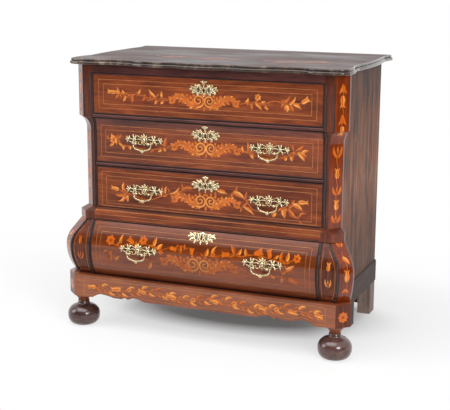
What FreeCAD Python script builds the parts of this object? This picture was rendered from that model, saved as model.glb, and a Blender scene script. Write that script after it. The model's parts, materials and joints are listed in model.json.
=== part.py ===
import FreeCAD, Part
import math
import os

V = FreeCAD.Vector
ALONG_X = V(1, 0, 0)
ALONG_Y = V(0, 1, 0)
ALONG_Z = V(0, 0, 1)

# Whole height, the bands that take their part of it, and how the drawers share what is left
HEIGHT = 880.0
TOP_THICK = 18.0
FRIEZE_HEIGHT = 27.0
RAIL_HEIGHT = 11.0
SLOPE_HEIGHT = 11.0
FASCIA_HEIGHT = 26.0
PLINTH_TOP = 178.0
WAIST_HEIGHT = FASCIA_HEIGHT + SLOPE_HEIGHT
DRAWER_ROOM = HEIGHT - TOP_THICK - FRIEZE_HEIGHT - 2 * RAIL_HEIGHT - WAIST_HEIGHT - PLINTH_TOP
PARTS_1 = 131
PARTS_2 = 147
PARTS_3 = 137
PARTS_4 = 183
PARTS = PARTS_1 + PARTS_2 + PARTS_3 + PARTS_4
OPENING_1 = DRAWER_ROOM * PARTS_1 / PARTS
OPENING_2 = DRAWER_ROOM * PARTS_2 / PARTS
OPENING_3 = DRAWER_ROOM * PARTS_3 / PARTS
OPENING_4 = DRAWER_ROOM * PARTS_4 / PARTS

# Heights of the front, stacked from the floor up
COVE_HEIGHT = 39.0
COVE_TIGHT_SHARE = 0.43
COVE_END_TURN = 78.0
BULGE_RISE = 92.0
BULGE_Z = PLINTH_TOP + BULGE_RISE
NECK_Z = PLINTH_TOP + OPENING_4
FASCIA_TOP = NECK_Z + FASCIA_HEIGHT
WAIST_TOP = FASCIA_TOP + SLOPE_HEIGHT
MIDDLE_RAIL_Z = WAIST_TOP + OPENING_3
OPENING_2_Z = MIDDLE_RAIL_Z + RAIL_HEIGHT
UPPER_RAIL_Z = OPENING_2_Z + OPENING_2
OPENING_1_Z = UPPER_RAIL_Z + RAIL_HEIGHT
FRIEZE_Z = OPENING_1_Z + OPENING_1
CASE_TOP = FRIEZE_Z + FRIEZE_HEIGHT

# Depths of the front line, measured forward from the back of the case
BLOCK_DEPTH = 525.0
RECESS_SET = 14.0
WAIST_PROUD = 20.0
NECK_SET = 5.0
BULGE_SWELL = 39.0
FOOT_TUCK = 29.0
PLINTH_PROUD = 26.0
NECK_STEEPNESS = 1.44
RECESS_DEPTH = BLOCK_DEPTH - RECESS_SET
WAIST_DEPTH = RECESS_DEPTH + WAIST_PROUD
NECK_DEPTH = WAIST_DEPTH - NECK_SET
BULGE_DEPTH = NECK_DEPTH + BULGE_SWELL
FOOT_DEPTH = BULGE_DEPTH - FOOT_TUCK
PLINTH_DEPTH = FOOT_DEPTH + PLINTH_PROUD

# Widths, measured from the middle of the chest
OPENING_HALF = 382.0
STILE_WIDTH = 36.0
SIDE_HALF = OPENING_HALF + STILE_WIDTH
SIDE_THICK = 18.0
SIDE_INNER = SIDE_HALF - SIDE_THICK
FACE_BLOCK = 36.0
FACE_RECESS = 17.0
FACE_WAIST = 33.0
FACE_NECK = 31.0
FACE_BULGE = 73.0
FACE_FOOT = 56.0
CANT = 32.0
WING_RETURN = 14.0
STILE_BACK_DEPTH = RECESS_DEPTH - CANT - WING_RETURN

# Beads on the corner posts
BEAD_WIDTH = 9.0
BEAD_PROUD = 4.0
ARRIS_BEAD_WIDTH = 7.0
ARRIS_BEAD_INSET = 1.0

# Top board
TOP_NOSE_THICK = 11.0
TOP_LIP_SET = 4.0
TOP_FRONT_OVERHANG = 42.0
TOP_SIDE_OVERHANG = 42.0
TOP_BACK_OVERHANG = 9.5
TOP_CORNER_RADIUS = 16.0
TOP_BOW_HALF = 92.0
TOP_EAR_START = 335.0
TOP_CUSP_IN = 15.0
TOP_SIDE_SCALLOP = 12.0
TOP_EAR_LENGTH = 100.0
TOP_REAR_LOBE = 60.0
TOP_RUN_CREST = 0.24
TOP_RUN_TURN = 0.52
TOP_RUN_HOLLOW = 0.76
TOP_CREST_DROP = 3.0
TOP_HOLLOW_DIP = 2.0
TOP_EAR_CREST = 0.46
TOP_EAR_TURN = 0.82
TOP_EAR_DROP = 6.0
TOP_EAR_ROUND = 0.96
TOP_EAR_ROUND_DROP = 0.11
TOP_SIDE_BOW = 2.0
TOP_REAR_SET = 4.0

# Carcass boards
BACK_THICK = 12.0
BACK_REBATE = 9.0
BACK_BOTTOM_Z = 18.0
BACK_BOARD_COUNT = 4
BOTTOM_THICK = 12.0
HOUSING = 6.0
TONGUE_THICK = 6.0
TONGUE_LENGTH = 8.0
RAIL_BEHIND_STILE = 25.0
RAIL_BACK_DEPTH = STILE_BACK_DEPTH - RAIL_BEHIND_STILE
RAIL_NOSE_PROUD = 2.5
TENON_LENGTH = 14.0
TENON_WIDTH = 26.0
TENON_SETBACK = 22.0
TENON_SHOULDER = 2.0
RUNNER_WIDTH = 38.0
GUIDE_HEIGHT = 24.0
STOP_X = 250.0
STOP_WIDTH = 34.0
STOP_LENGTH = 16.0
STOP_HEIGHT = 7.0

# Plinth and feet
SKIRT_BOTTOM_Z = 105.0
SIDE_PLINTH_PROUD = 5.0
PLINTH_BOARD_THICK = 20.0
PLINTH_BOARD_LAP = 43.0
PLINTH_BOARD_HALF = OPENING_HALF + PLINTH_BOARD_LAP
PLINTH_FACE = 62.5
PLINTH_CANT = 36.5
PLINTH_BACK_DEPTH = FOOT_DEPTH - CANT - WING_RETURN
SIDE_PLINTH_CHAMFER = 3.0
APRON_COVE_RISE = 14.0
APRON_LOBE_RISE = 6.0
APRON_NOTCH_RISE = 11.0
APRON_CUSP_RISE = 8.0
APRON_MIDDLE_RISE = 5.0
APRON_FULLNESS = 0.68
# Places along the apron, as shares of half the opening
APRON_COVE_START = 0.99
APRON_COVE_END = 0.91
APRON_LOBE_START = 0.79
APRON_LOBE_END = 0.71
APRON_NOTCH = 0.68
APRON_BEAD = 0.66
APRON_CUSP = 0.64
APRON_HIGH = 0.6
APRON_MIDDLE = 0.5
BUN_OUT = 51.5
BUN_SET = 39.5
BUN_X = OPENING_HALF + BUN_OUT
BUN_DEPTH = PLINTH_DEPTH - BUN_SET
BUN_RADIUS = 53.0
BUN_BASE_RADIUS = 35.0
BUN_HEIGHT = 68.0
BUN_BELT_LOW = 21.0
BUN_BELT_HIGH = 46.0
BUN_SHOULDER_RADIUS = 30.0
NECK_RADIUS = 19.0
COLLAR_RADIUS = 26.0
COLLAR_HEIGHT = 11.0
FOOT_TENON = 22.0
FOOT_TENON_LENGTH = 45.0
REAR_FOOT_DEPTH = 68.0
REAR_FOOT_BLOCK = 20.0
REAR_FOOT_BLOCK_TOP = 150.0

# Drawers
DRAWER_GAP = 1.5
DRAWER_HALF = OPENING_HALF - DRAWER_GAP
FRONT_THICK = 22.0
DRAWER_SIDE_THICK = 12.0
DRAWER_SIDE_INSET = 1.0
DRAWER_BACK_THICK = 11.0
DRAWER_BACK_DEPTH = 30.0
DRAWER_BOTTOM_THICK = 8.0
DRAWER_BOTTOM_LIFT = 10.0
DRAWER_GROOVE = 5.0
DRAWER_SIDE_DROP = 8.0
RUN_CLEARANCE = 0.3
TAIL_LENGTH = 10.0
TAIL_COUNT = 3
TAIL_SHARE = 0.55
TAIL_FLARE = 2.0

# Locks
KEY_DROP = 38.0
KEY_DROP_4 = 22.0
KEY_RADIUS = 3.0
KEY_SLOT_WIDTH = 3.0
KEY_SLOT_LENGTH = 9.0
LOCK_HALF = 32.0
LOCK_THICK = 12.0
LOCK_BELOW_KEY = 12.0
BOLT_HALF = 11.0
BOLT_THICK = 4.4
BOLT_LENGTH = 22.0
BOLT_SET = 0.5
BOLT_THROW = 8.0
BOLT_CLEARANCE = 0.3
BOLT_MORTISE_CLEARANCE = 0.6
BOLT_MORTISE_DEPTH = BOLT_THROW - DRAWER_GAP - BOLT_SET + BOLT_MORTISE_CLEARANCE

# Brasses
HANDLE_X = 210.0
HANDLE_LIFT_2 = 6.5
HANDLE_LIFT_3 = -2.0
HANDLE_LIFT_4 = 10.5
PLATE_THICK = 2.0
AXIS_BELOW_PLATE = 8.0
POST_X = 22.0
POST_STAND = 14.0
POST_BASE_RADIUS = 5.0
POST_NECK_RADIUS = 3.2
POST_HEAD_RADIUS = 5.2
POST_EYE = 3.0
POST_SHANK = 5.0
BAIL_RADIUS = 2.6
BAIL_SIDE_CLEARANCE = 0.5
BAIL_HALF = POST_X + POST_HEAD_RADIUS + BAIL_SIDE_CLEARANCE + BAIL_RADIUS
BAIL_ARM = 6.5
BAIL_HIP_RADIUS = 12.0
BAIL_HIP_TURN = 73.0
BAIL_HIP_STEPS = 3
BAIL_KNOP_RADIUS = 6.0
BAIL_KNOP_THICK = 6.0
PIN_RADIUS = 1.7
PIN_BORE_RADIUS = 2.1

# The origin is on the floor, under the middle of the whole depth
HANDLE_REACH = PLATE_THICK + POST_STAND + POST_HEAD_RADIUS
BACK_Y = (BULGE_DEPTH + HANDLE_REACH - TOP_BACK_OVERHANG) / 2
FAR = 2000.0
BODY_BEHIND_STILE = 100.0
BODY_BACK_DEPTH = STILE_BACK_DEPTH - BODY_BEHIND_STILE


def y_at(depth):
    """Y of a point this far in front of the case back."""
    return BACK_Y - depth


def board(x0, x1, d0, d1, z0, z1):
    """A plain board between two widths, two depths and two heights."""
    return Part.makeBox(x1 - x0, d1 - d0, z1 - z0, V(x0, y_at(d1), z0))


def mirrored(shape):
    """The same piece on the left of the chest."""
    return shape.mirror(V(0, 0, 0), ALONG_X)


def pair(shape):
    """A piece on the right and its twin on the left, as separate solids."""
    return [shape, mirrored(shape)]


def joined(shapes):
    """One solid from pieces that meet or overlap."""
    return shapes[0].fuse(shapes[1:]).removeSplitter()


def line(p, q):
    return Part.LineSegment(p, q).toShape()


def arc(p, middle, q):
    return Part.Arc(p, middle, q).toShape()


def eight_sided(middle, radius, across, up):
    """Corners of a closed eight-sided outline around a point."""
    corners = []
    for index in range(9):
        angle = math.radians(45 * index + 22.5)
        corners.append(middle + across * (radius * math.cos(angle)) + up * (radius * math.sin(angle)))
    return corners


def faceted(rings):
    """A solid through outlines with as many corners, with flat faces between them."""
    faces = [Part.Face(Part.makePolygon(rings[0])), Part.Face(Part.makePolygon(rings[-1]))]
    for low, high in zip(rings, rings[1:]):
        for index in range(len(low) - 1):
            corners = [low[index], low[index + 1], high[index + 1], high[index], low[index]]
            faces.append(Part.Face(Part.makePolygon(corners)))
    return Part.Solid(Part.Shell(faces))


def bar(outline, along):
    """A straight bar with this outline."""
    return Part.Face(Part.makePolygon(outline)).extrude(along)


# The line of the front: one shape, used for depth, for the cant and for the outer side


def swell_edges(put, foot, bulge, neck):
    """The bombe: an arc up to the bulge, an arc over it and a straight run to the neck."""
    low_drop = bulge - foot
    low_radius = (BULGE_RISE ** 2 + low_drop ** 2) / (2 * low_drop)
    low_half = math.asin(BULGE_RISE / low_radius) / 2
    low_middle = put(bulge - low_radius * (1 - math.cos(low_half)), BULGE_Z - low_radius * math.sin(low_half))
    drop = bulge - neck
    slope = math.atan(NECK_STEEPNESS * drop / (NECK_Z - BULGE_Z))
    radius = drop * (NECK_STEEPNESS - 1) / (1 / math.cos(slope) - 1)
    half = slope / 2
    high_middle = put(bulge - radius * (1 - math.cos(half)), BULGE_Z + radius * math.sin(half))
    turn = put(bulge - radius * (1 - math.cos(slope)), BULGE_Z + radius * math.sin(slope))
    peak = put(bulge, BULGE_Z)
    return [
        arc(put(foot, PLINTH_TOP), low_middle, peak),
        arc(peak, high_middle, turn),
        line(turn, put(neck, NECK_Z)),
    ]


def cove_edges(put, recess, block):
    """A hollow that rises upright and leaves nearly level: a wide arc, then a tight one."""
    low = UPPER_RAIL_Z - COVE_HEIGHT
    end = math.radians(COVE_END_TURN)
    tight = (block - recess) * COVE_TIGHT_SHARE
    tight_middle = block + tight * math.cos(end)
    tight_z = COVE_HEIGHT - tight * math.sin(end)
    out = tight_middle - recess
    wide = (out ** 2 + tight_z ** 2 - tight ** 2) / (2 * (out - tight))
    meet = math.atan2(tight_z, wide - out)

    def on_wide(turn):
        return put(recess + wide * (1 - math.cos(turn)), low + wide * math.sin(turn))

    def on_tight(turn):
        return put(tight_middle - tight * math.cos(turn), low + tight_z + tight * math.sin(turn))

    return [
        arc(on_wide(0), on_wide(meet / 2), on_wide(meet)),
        arc(on_wide(meet), on_tight((meet + end) / 2), put(block, UPPER_RAIL_Z)),
    ]


def front_line(put, reach, behind):
    """Closed face between the front line and an upright line behind it."""
    corners = [
        (reach["neck"], NECK_Z),
        (reach["waist"], NECK_Z),
        (reach["waist"], FASCIA_TOP),
        (reach["recess"], WAIST_TOP),
        (reach["recess"], UPPER_RAIL_Z - COVE_HEIGHT),
    ]
    closing = [
        (reach["block"], UPPER_RAIL_Z),
        (reach["block"], CASE_TOP),
        (behind, CASE_TOP),
        (behind, PLINTH_TOP),
        (reach["foot"], PLINTH_TOP),
    ]
    edges = swell_edges(put, reach["foot"], reach["bulge"], reach["neck"])
    edges += [line(put(*a), put(*b)) for a, b in zip(corners, corners[1:]) if a != b]
    edges += cove_edges(put, reach["recess"], reach["block"])
    edges += [line(put(*a), put(*b)) for a, b in zip(closing, closing[1:])]
    return Part.Face(Part.Wire(edges))


DEPTHS = {
    "foot": FOOT_DEPTH,
    "bulge": BULGE_DEPTH,
    "neck": NECK_DEPTH,
    "waist": WAIST_DEPTH,
    "recess": RECESS_DEPTH,
    "block": BLOCK_DEPTH,
}
FACES = {
    "foot": FACE_FOOT,
    "bulge": FACE_BULGE,
    "neck": FACE_NECK,
    "waist": FACE_WAIST,
    "recess": FACE_RECESS,
    "block": FACE_BLOCK,
}


def front_body(x0, x1):
    """Everything behind the front line between two widths."""
    face = front_line(lambda depth, z: V(x0, y_at(depth), z), DEPTHS, BODY_BACK_DEPTH)
    return face.extrude(ALONG_X * (x1 - x0))


def cant_body():
    """Everything behind the canted corner on the right, which leans 45 degrees."""
    out = V(1, -1, 0).normalize()
    along = V(1, 1, 0).normalize()
    root = V(0, BACK_Y, 0) - along * (FAR / 2)
    reach = {}
    for level in DEPTHS:
        reach[level] = (OPENING_HALF + FACES[level] + DEPTHS[level]) / math.sqrt(2)
    face = front_line(lambda v, z: root + out * v + ALONG_Z * z, reach, 0)
    return face.extrude(along * FAR)


def outer_body():
    """Everything inside the outer side of the right corner post."""
    reach = {}
    for level in FACES:
        reach[level] = OPENING_HALF + FACES[level] + CANT
    face = front_line(lambda x, z: V(x, -FAR / 2, z), reach, 0)
    return face.extrude(ALONG_Y * FAR)


def corner_post():
    """Right corner post: a stile with a canted wing that swells into the bombe."""
    post = front_body(OPENING_HALF, FAR / 2).common(outer_body()).common(cant_body())
    post = post.cut(board(0, FAR / 2, -FAR / 2, STILE_BACK_DEPTH, 0, FAR))
    behind_wing = front_body(SIDE_HALF, FAR / 2)
    behind_wing.translate(ALONG_Y * (CANT + WING_RETURN))
    return post.cut(behind_wing)


def corner_beads():
    """Two proud beads on the right post: one by the drawers, one along the cant."""
    proud = front_body(OPENING_HALF, FAR / 2)
    proud.translate(-ALONG_Y * BEAD_PROUD)
    shell = proud.cut(front_body(OPENING_HALF, FAR / 2))
    inner_band = board(OPENING_HALF, OPENING_HALF + BEAD_WIDTH, 0, FAR, PLINTH_TOP, UPPER_RAIL_Z)
    inner = shell.common(inner_band)
    reach = {}
    for level in FACES:
        reach[level] = OPENING_HALF + FACES[level] - ARRIS_BEAD_INSET
    outer_edge = front_line(lambda x, z: V(x, -FAR / 2, z), reach, 0)
    outer_band = outer_edge.extrude(ALONG_Y * FAR)
    narrower = outer_band.copy()
    narrower.translate(-ALONG_X * ARRIS_BEAD_WIDTH)
    below_waist = board(OPENING_HALF, FAR / 2, 0, FAR, PLINTH_TOP, NECK_Z)
    arris = shell.common(outer_band).cut(narrower).common(below_waist).cut(inner_band)
    return [inner, arris]


# Carcass


def top_outline():
    """Plan of the top: a bow, two ogee runs and ears in front, scalloped sides, a plain back."""
    front = BLOCK_DEPTH + TOP_FRONT_OVERHANG
    side = SIDE_HALF + TOP_SIDE_OVERHANG
    back = -TOP_BACK_OVERHANG
    rear_side = side - TOP_REAR_SET
    nick = side - TOP_SIDE_SCALLOP
    cusp = front - TOP_CUSP_IN
    low_cusp = cusp - TOP_CUSP_IN / 2
    ear_tip = front - TOP_CUSP_IN * 3
    ear_back = ear_tip - TOP_EAR_LENGTH
    run = TOP_EAR_START - TOP_BOW_HALF
    ear = side - TOP_EAR_START
    round_off = TOP_CORNER_RADIUS * (1 - math.sqrt(0.5))

    def at(x, depth):
        return V(x, y_at(depth), 0)

    def on_run(share, depth):
        return at(TOP_BOW_HALF + run * share, depth)

    def on_ear(share, depth):
        return at(TOP_EAR_START + ear * share, depth)

    run_turn = on_run(TOP_RUN_TURN, cusp)
    ear_start = at(TOP_EAR_START, low_cusp)
    ear_turn = on_ear(TOP_EAR_TURN, cusp)
    ear_end = at(side, ear_tip)
    front_nick = at(nick, ear_back)
    rear_nick = at(nick, TOP_REAR_LOBE)
    rear_end = at(rear_side, back + TOP_CORNER_RADIUS)
    half = [
        arc(on_run(0, cusp), on_run(TOP_RUN_CREST, front - TOP_CREST_DROP), run_turn),
        arc(run_turn, on_run(TOP_RUN_HOLLOW, low_cusp - TOP_HOLLOW_DIP), ear_start),
        arc(ear_start, on_ear(TOP_EAR_CREST, front - TOP_EAR_DROP), ear_turn),
        arc(ear_turn, on_ear(TOP_EAR_ROUND, cusp - ear * TOP_EAR_ROUND_DROP), ear_end),
        arc(ear_end, at(side, (ear_tip + ear_back) / 2), front_nick),
        arc(front_nick, at(side - TOP_SIDE_BOW, (ear_back + TOP_REAR_LOBE) / 2), rear_nick),
        line(rear_nick, rear_end),
        arc(rear_end, at(rear_side - round_off, back + round_off), at(rear_side - TOP_CORNER_RADIUS, back)),
    ]
    other = [mirrored(edge) for edge in half]
    bow = arc(at(-TOP_BOW_HALF, cusp), at(0, front), at(TOP_BOW_HALF, cusp))
    rear_x = rear_side - TOP_CORNER_RADIUS
    rear = line(at(rear_x, back), at(-rear_x, back))
    return Part.Wire(Part.__sortEdges__([bow, rear] + half + other))


def top_board():
    """Shaped top: a narrower lip on a nosed edge."""
    outline = top_outline()
    nose = Part.Face(outline).extrude(ALONG_Z * TOP_NOSE_THICK)
    lip = Part.Face(outline.makeOffset2D(-TOP_LIP_SET)).extrude(ALONG_Z * TOP_THICK)
    top = joined([nose, lip])
    top.translate(ALONG_Z * CASE_TOP)
    return top


def back_boards():
    """Upright boards side by side in the rebates of the sides."""
    half = SIDE_INNER + BACK_REBATE
    width = 2 * half / BACK_BOARD_COUNT
    boards = []
    for index in range(BACK_BOARD_COUNT):
        left = -half + index * width
        boards.append(board(left, left + width, 0, BACK_THICK, BACK_BOTTOM_Z, CASE_TOP))
    return boards


def bottom_board():
    half = SIDE_INNER + HOUSING
    front = PLINTH_DEPTH - PLINTH_BOARD_THICK
    whole = board(-half, half, BACK_THICK, STILE_BACK_DEPTH, PLINTH_TOP - BOTTOM_THICK, PLINTH_TOP)
    tongue = board(
        -OPENING_HALF, OPENING_HALF, STILE_BACK_DEPTH, front, PLINTH_TOP - BOTTOM_THICK, PLINTH_TOP)
    return joined([whole, tongue])


def side_panel():
    """Right side, with a tongue along its front edge."""
    panel = board(SIDE_INNER, SIDE_HALF, 0, STILE_BACK_DEPTH, SKIRT_BOTTOM_Z, CASE_TOP)
    middle = (SIDE_INNER + SIDE_HALF) / 2
    tongue = board(
        middle - TONGUE_THICK / 2, middle + TONGUE_THICK / 2,
        STILE_BACK_DEPTH, STILE_BACK_DEPTH + TONGUE_LENGTH, PLINTH_TOP, CASE_TOP,
    )
    return joined([panel, tongue])


def tenons(front, z0, z1):
    """Both end tenons of a rail."""
    tenon = board(
        OPENING_HALF, OPENING_HALF + TENON_LENGTH,
        front - TENON_SETBACK - TENON_WIDTH, front - TENON_SETBACK,
        z0 + TENON_SHOULDER, z1 - TENON_SHOULDER,
    )
    return pair(tenon)


def nosed_rail(front, z0):
    """Thin rail between two drawers, with a half-round front edge."""
    radius = RAIL_HEIGHT / 2
    nose_depth = front + RAIL_NOSE_PROUD - radius
    z1 = z0 + RAIL_HEIGHT
    body = board(-OPENING_HALF, OPENING_HALF, RAIL_BACK_DEPTH, nose_depth, z0, z1)
    nose = Part.makeCylinder(
        radius, 2 * OPENING_HALF, V(-OPENING_HALF, y_at(nose_depth), z0 + radius), ALONG_X)
    return joined([body, nose] + tenons(front, z0, z1))


def frieze_rail():
    body = board(-OPENING_HALF, OPENING_HALF, RAIL_BACK_DEPTH, BLOCK_DEPTH, FRIEZE_Z, CASE_TOP)
    return joined([body] + tenons(BLOCK_DEPTH, FRIEZE_Z, CASE_TOP))


def waist_rail():
    """Moulded rail over the bombe drawer: an upright fascia under a sloped top."""
    slab = board(-OPENING_HALF, OPENING_HALF, RAIL_BACK_DEPTH, FAR / 2, NECK_Z, WAIST_TOP)
    body = front_body(-OPENING_HALF, OPENING_HALF).common(slab)
    return joined([body] + tenons(RECESS_DEPTH, NECK_Z, WAIST_TOP))


def drawer_runners():
    """Bearers at the sides, level with the rails, for the three upper drawers."""
    runners = []
    for top in (OPENING_1_Z, OPENING_2_Z, WAIST_TOP):
        runner = board(
            SIDE_INNER - RUNNER_WIDTH, SIDE_INNER, BACK_THICK, RAIL_BACK_DEPTH, top - RAIL_HEIGHT, top)
        runners += pair(runner)
    return runners


def drawer_guides():
    """Strips on the runners that keep each drawer straight."""
    guides = []
    for low in (OPENING_1_Z, OPENING_2_Z, WAIST_TOP, PLINTH_TOP):
        guide = board(OPENING_HALF, SIDE_INNER, BACK_THICK, STILE_BACK_DEPTH, low, low + GUIDE_HEIGHT)
        guides += pair(guide)
    return guides


def drawer_stops():
    """Small blocks behind each drawer front, which stop it flush when it is shut."""
    stops = []
    for drawer in DRAWERS:
        front = drawer["back"] - RUN_CLEARANCE
        low = drawer["low"]
        stop = board(
            STOP_X - STOP_WIDTH / 2, STOP_X + STOP_WIDTH / 2,
            front - STOP_LENGTH, front, low, low + STOP_HEIGHT)
        stops += pair(stop)
    return stops


# Plinth and feet


def front_plinth():
    """Plinth board with the shaped lower edge of an apron."""
    height = PLINTH_TOP - SKIRT_BOTTOM_Z

    def at(x, rise):
        return V(x, y_at(PLINTH_DEPTH), SKIRT_BOTTOM_Z + rise)

    marks = [
        (APRON_COVE_START, 0),
        (APRON_COVE_END, APRON_COVE_RISE),
        (APRON_LOBE_START, APRON_LOBE_RISE),
        (APRON_LOBE_END, APRON_LOBE_RISE),
        (APRON_NOTCH, APRON_NOTCH_RISE),
        (APRON_BEAD, APRON_LOBE_RISE),
        (APRON_CUSP, APRON_CUSP_RISE),
        (APRON_HIGH, APRON_COVE_RISE),
        (APRON_MIDDLE, APRON_MIDDLE_RISE),
    ]
    half = [
        line(at(PLINTH_BOARD_HALF, height), at(PLINTH_BOARD_HALF, 0)),
        line(at(PLINTH_BOARD_HALF, 0), at(OPENING_HALF * APRON_COVE_START, 0)),
    ]
    for (share_a, rise_a), (share_b, rise_b) in zip(marks, marks[1:]):
        start = at(OPENING_HALF * share_a, rise_a)
        end = at(OPENING_HALF * share_b, rise_b)
        if rise_a == rise_b:
            half.append(line(start, end))
            continue
        middle = min(rise_a, rise_b) + abs(rise_a - rise_b) * APRON_FULLNESS
        half.append(arc(start, at(OPENING_HALF * (share_a + share_b) / 2, middle), end))
    other = [mirrored(edge) for edge in half]
    top = line(at(-PLINTH_BOARD_HALF, height), at(PLINTH_BOARD_HALF, height))
    inner = OPENING_HALF * APRON_MIDDLE
    bottom = line(at(-inner, APRON_MIDDLE_RISE), at(inner, APRON_MIDDLE_RISE))
    wire = Part.Wire(Part.__sortEdges__([top, bottom] + half + other))
    return Part.Face(wire).extrude(ALONG_Y * PLINTH_BOARD_THICK)


def plinth_corner_block():
    """Right corner block of the plinth, canted like the post that stands on it."""
    arris = OPENING_HALF + PLINTH_FACE
    outer = arris + PLINTH_CANT
    cant_end = PLINTH_DEPTH - PLINTH_CANT
    corners = [
        (OPENING_HALF, STILE_BACK_DEPTH),
        (OPENING_HALF, PLINTH_DEPTH),
        (arris, PLINTH_DEPTH),
        (outer, cant_end),
        (outer, PLINTH_BACK_DEPTH),
        (SIDE_HALF, PLINTH_BACK_DEPTH),
        (SIDE_HALF, STILE_BACK_DEPTH),
        (OPENING_HALF, STILE_BACK_DEPTH),
    ]
    wire = Part.makePolygon([V(x, y_at(depth), SKIRT_BOTTOM_Z) for x, depth in corners])
    return Part.Face(wire).extrude(ALONG_Z * (PLINTH_TOP - SKIRT_BOTTOM_Z))


def side_plinth():
    """Right plinth board, with a weathered top edge, planted on the side panel."""
    outer = SIDE_HALF + SIDE_PLINTH_PROUD
    corners = [
        (SIDE_HALF, SKIRT_BOTTOM_Z),
        (outer, SKIRT_BOTTOM_Z),
        (outer, PLINTH_TOP - SIDE_PLINTH_CHAMFER),
        (SIDE_HALF, PLINTH_TOP),
        (SIDE_HALF, SKIRT_BOTTOM_Z),
    ]
    wire = Part.makePolygon([V(x, y_at(PLINTH_BACK_DEPTH), z) for x, z in corners])
    return Part.Face(wire).extrude(ALONG_Y * PLINTH_BACK_DEPTH)


def bun_foot():
    """Right turned bun foot with a neck, a collar and a square tenon up into the corner block."""
    collar_low = SKIRT_BOTTOM_Z - COLLAR_HEIGHT

    def at(radius, z):
        return V(BUN_X + radius, y_at(BUN_DEPTH), z)

    corners = [
        (BUN_SHOULDER_RADIUS, BUN_HEIGHT),
        (NECK_RADIUS, BUN_HEIGHT),
        (NECK_RADIUS, collar_low),
        (COLLAR_RADIUS, collar_low),
        (COLLAR_RADIUS, SKIRT_BOTTOM_Z),
        (0, SKIRT_BOTTOM_Z),
        (0, 0),
        (BUN_BASE_RADIUS, 0),
        (BUN_RADIUS, BUN_BELT_LOW),
        (BUN_RADIUS, BUN_BELT_HIGH),
        (BUN_SHOULDER_RADIUS, BUN_HEIGHT),
    ]
    profile = Part.makePolygon([at(radius, z) for radius, z in corners])
    turned = Part.Face(profile).revolve(at(0, 0), ALONG_Z, 360)
    half = FOOT_TENON / 2
    tenon = board(
        BUN_X - half, BUN_X + half, BUN_DEPTH - half, BUN_DEPTH + half,
        SKIRT_BOTTOM_Z, SKIRT_BOTTOM_Z + FOOT_TENON_LENGTH)
    return joined([turned, tenon])


def rear_foot():
    """Right rear foot: a board under the side with a corner block behind it."""
    outer = SIDE_HALF + SIDE_PLINTH_PROUD
    leg = board(SIDE_INNER, outer, BACK_THICK, REAR_FOOT_DEPTH, 0, SKIRT_BOTTOM_Z)
    block = board(
        SIDE_INNER - REAR_FOOT_BLOCK, SIDE_INNER, BACK_THICK, REAR_FOOT_DEPTH, 0, REAR_FOOT_BLOCK_TOP)
    return joined([leg, block])


# Drawers


DRAWERS = [
    {"name": "drawer_1", "low": OPENING_1_Z, "high": FRIEZE_Z, "depth": BLOCK_DEPTH, "key": KEY_DROP},
    {"name": "drawer_2", "low": OPENING_2_Z, "high": UPPER_RAIL_Z, "depth": RECESS_DEPTH, "key": KEY_DROP},
    {"name": "drawer_3", "low": WAIST_TOP, "high": MIDDLE_RAIL_Z, "depth": RECESS_DEPTH, "key": KEY_DROP},
    {"name": "drawer_4", "low": PLINTH_TOP, "high": NECK_Z, "depth": NECK_DEPTH, "key": KEY_DROP_4},
]
HANDLE_LIFTS = {"drawer_2": HANDLE_LIFT_2, "drawer_3": HANDLE_LIFT_3, "drawer_4": HANDLE_LIFT_4}
for each in DRAWERS:
    each["back"] = each["depth"] - FRONT_THICK
    each["front_low"] = each["low"] + DRAWER_GAP
    each["front_high"] = each["high"] - DRAWER_GAP
    each["key_z"] = each["high"] - each["key"]


def dovetails(drawer, low, high):
    """Tails on the front end of a drawer side, let half way into the front."""
    inner = DRAWER_HALF - DRAWER_SIDE_INSET - DRAWER_SIDE_THICK
    pitch = (high - low) / TAIL_COUNT
    root = drawer["back"]
    tails = []
    for index in range(TAIL_COUNT):
        middle = low + pitch * (index + 0.5)
        narrow = pitch * TAIL_SHARE / 2
        wide = narrow + TAIL_FLARE
        corners = [(root, narrow), (root, -narrow), (root + TAIL_LENGTH, -wide), (root + TAIL_LENGTH, wide)]
        points = [V(inner, y_at(depth), middle + z) for depth, z in corners]
        wire = Part.makePolygon(points + points[:1])
        tails.append(Part.Face(wire).extrude(ALONG_X * DRAWER_SIDE_THICK))
    return tails


def drawer_side(drawer):
    """Right side of a drawer, dovetailed to the front and grooved for the bottom."""
    outer = DRAWER_HALF - DRAWER_SIDE_INSET
    low = drawer["low"] + RUN_CLEARANCE
    high = drawer["front_high"] - DRAWER_SIDE_DROP
    side = board(outer - DRAWER_SIDE_THICK, outer, DRAWER_BACK_DEPTH, drawer["back"], low, high)
    first_tail = low + DRAWER_BOTTOM_LIFT + DRAWER_BOTTOM_THICK
    return joined([side] + dovetails(drawer, first_tail, high))


def drawer_bottom(drawer):
    half = DRAWER_HALF - DRAWER_SIDE_INSET - DRAWER_SIDE_THICK + DRAWER_GROOVE
    low = drawer["low"] + DRAWER_BOTTOM_LIFT
    return board(
        -half, half, DRAWER_BACK_DEPTH, drawer["back"] + DRAWER_GROOVE, low, low + DRAWER_BOTTOM_THICK)


def drawer_back(drawer):
    half = DRAWER_HALF - DRAWER_SIDE_INSET - DRAWER_SIDE_THICK + DRAWER_GROOVE
    low = drawer["low"] + DRAWER_BOTTOM_LIFT + DRAWER_BOTTOM_THICK
    high = drawer["front_high"] - DRAWER_SIDE_DROP
    near = DRAWER_BACK_DEPTH + DRAWER_GROOVE
    return board(-half, half, near, near + DRAWER_BACK_THICK, low, high)


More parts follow.
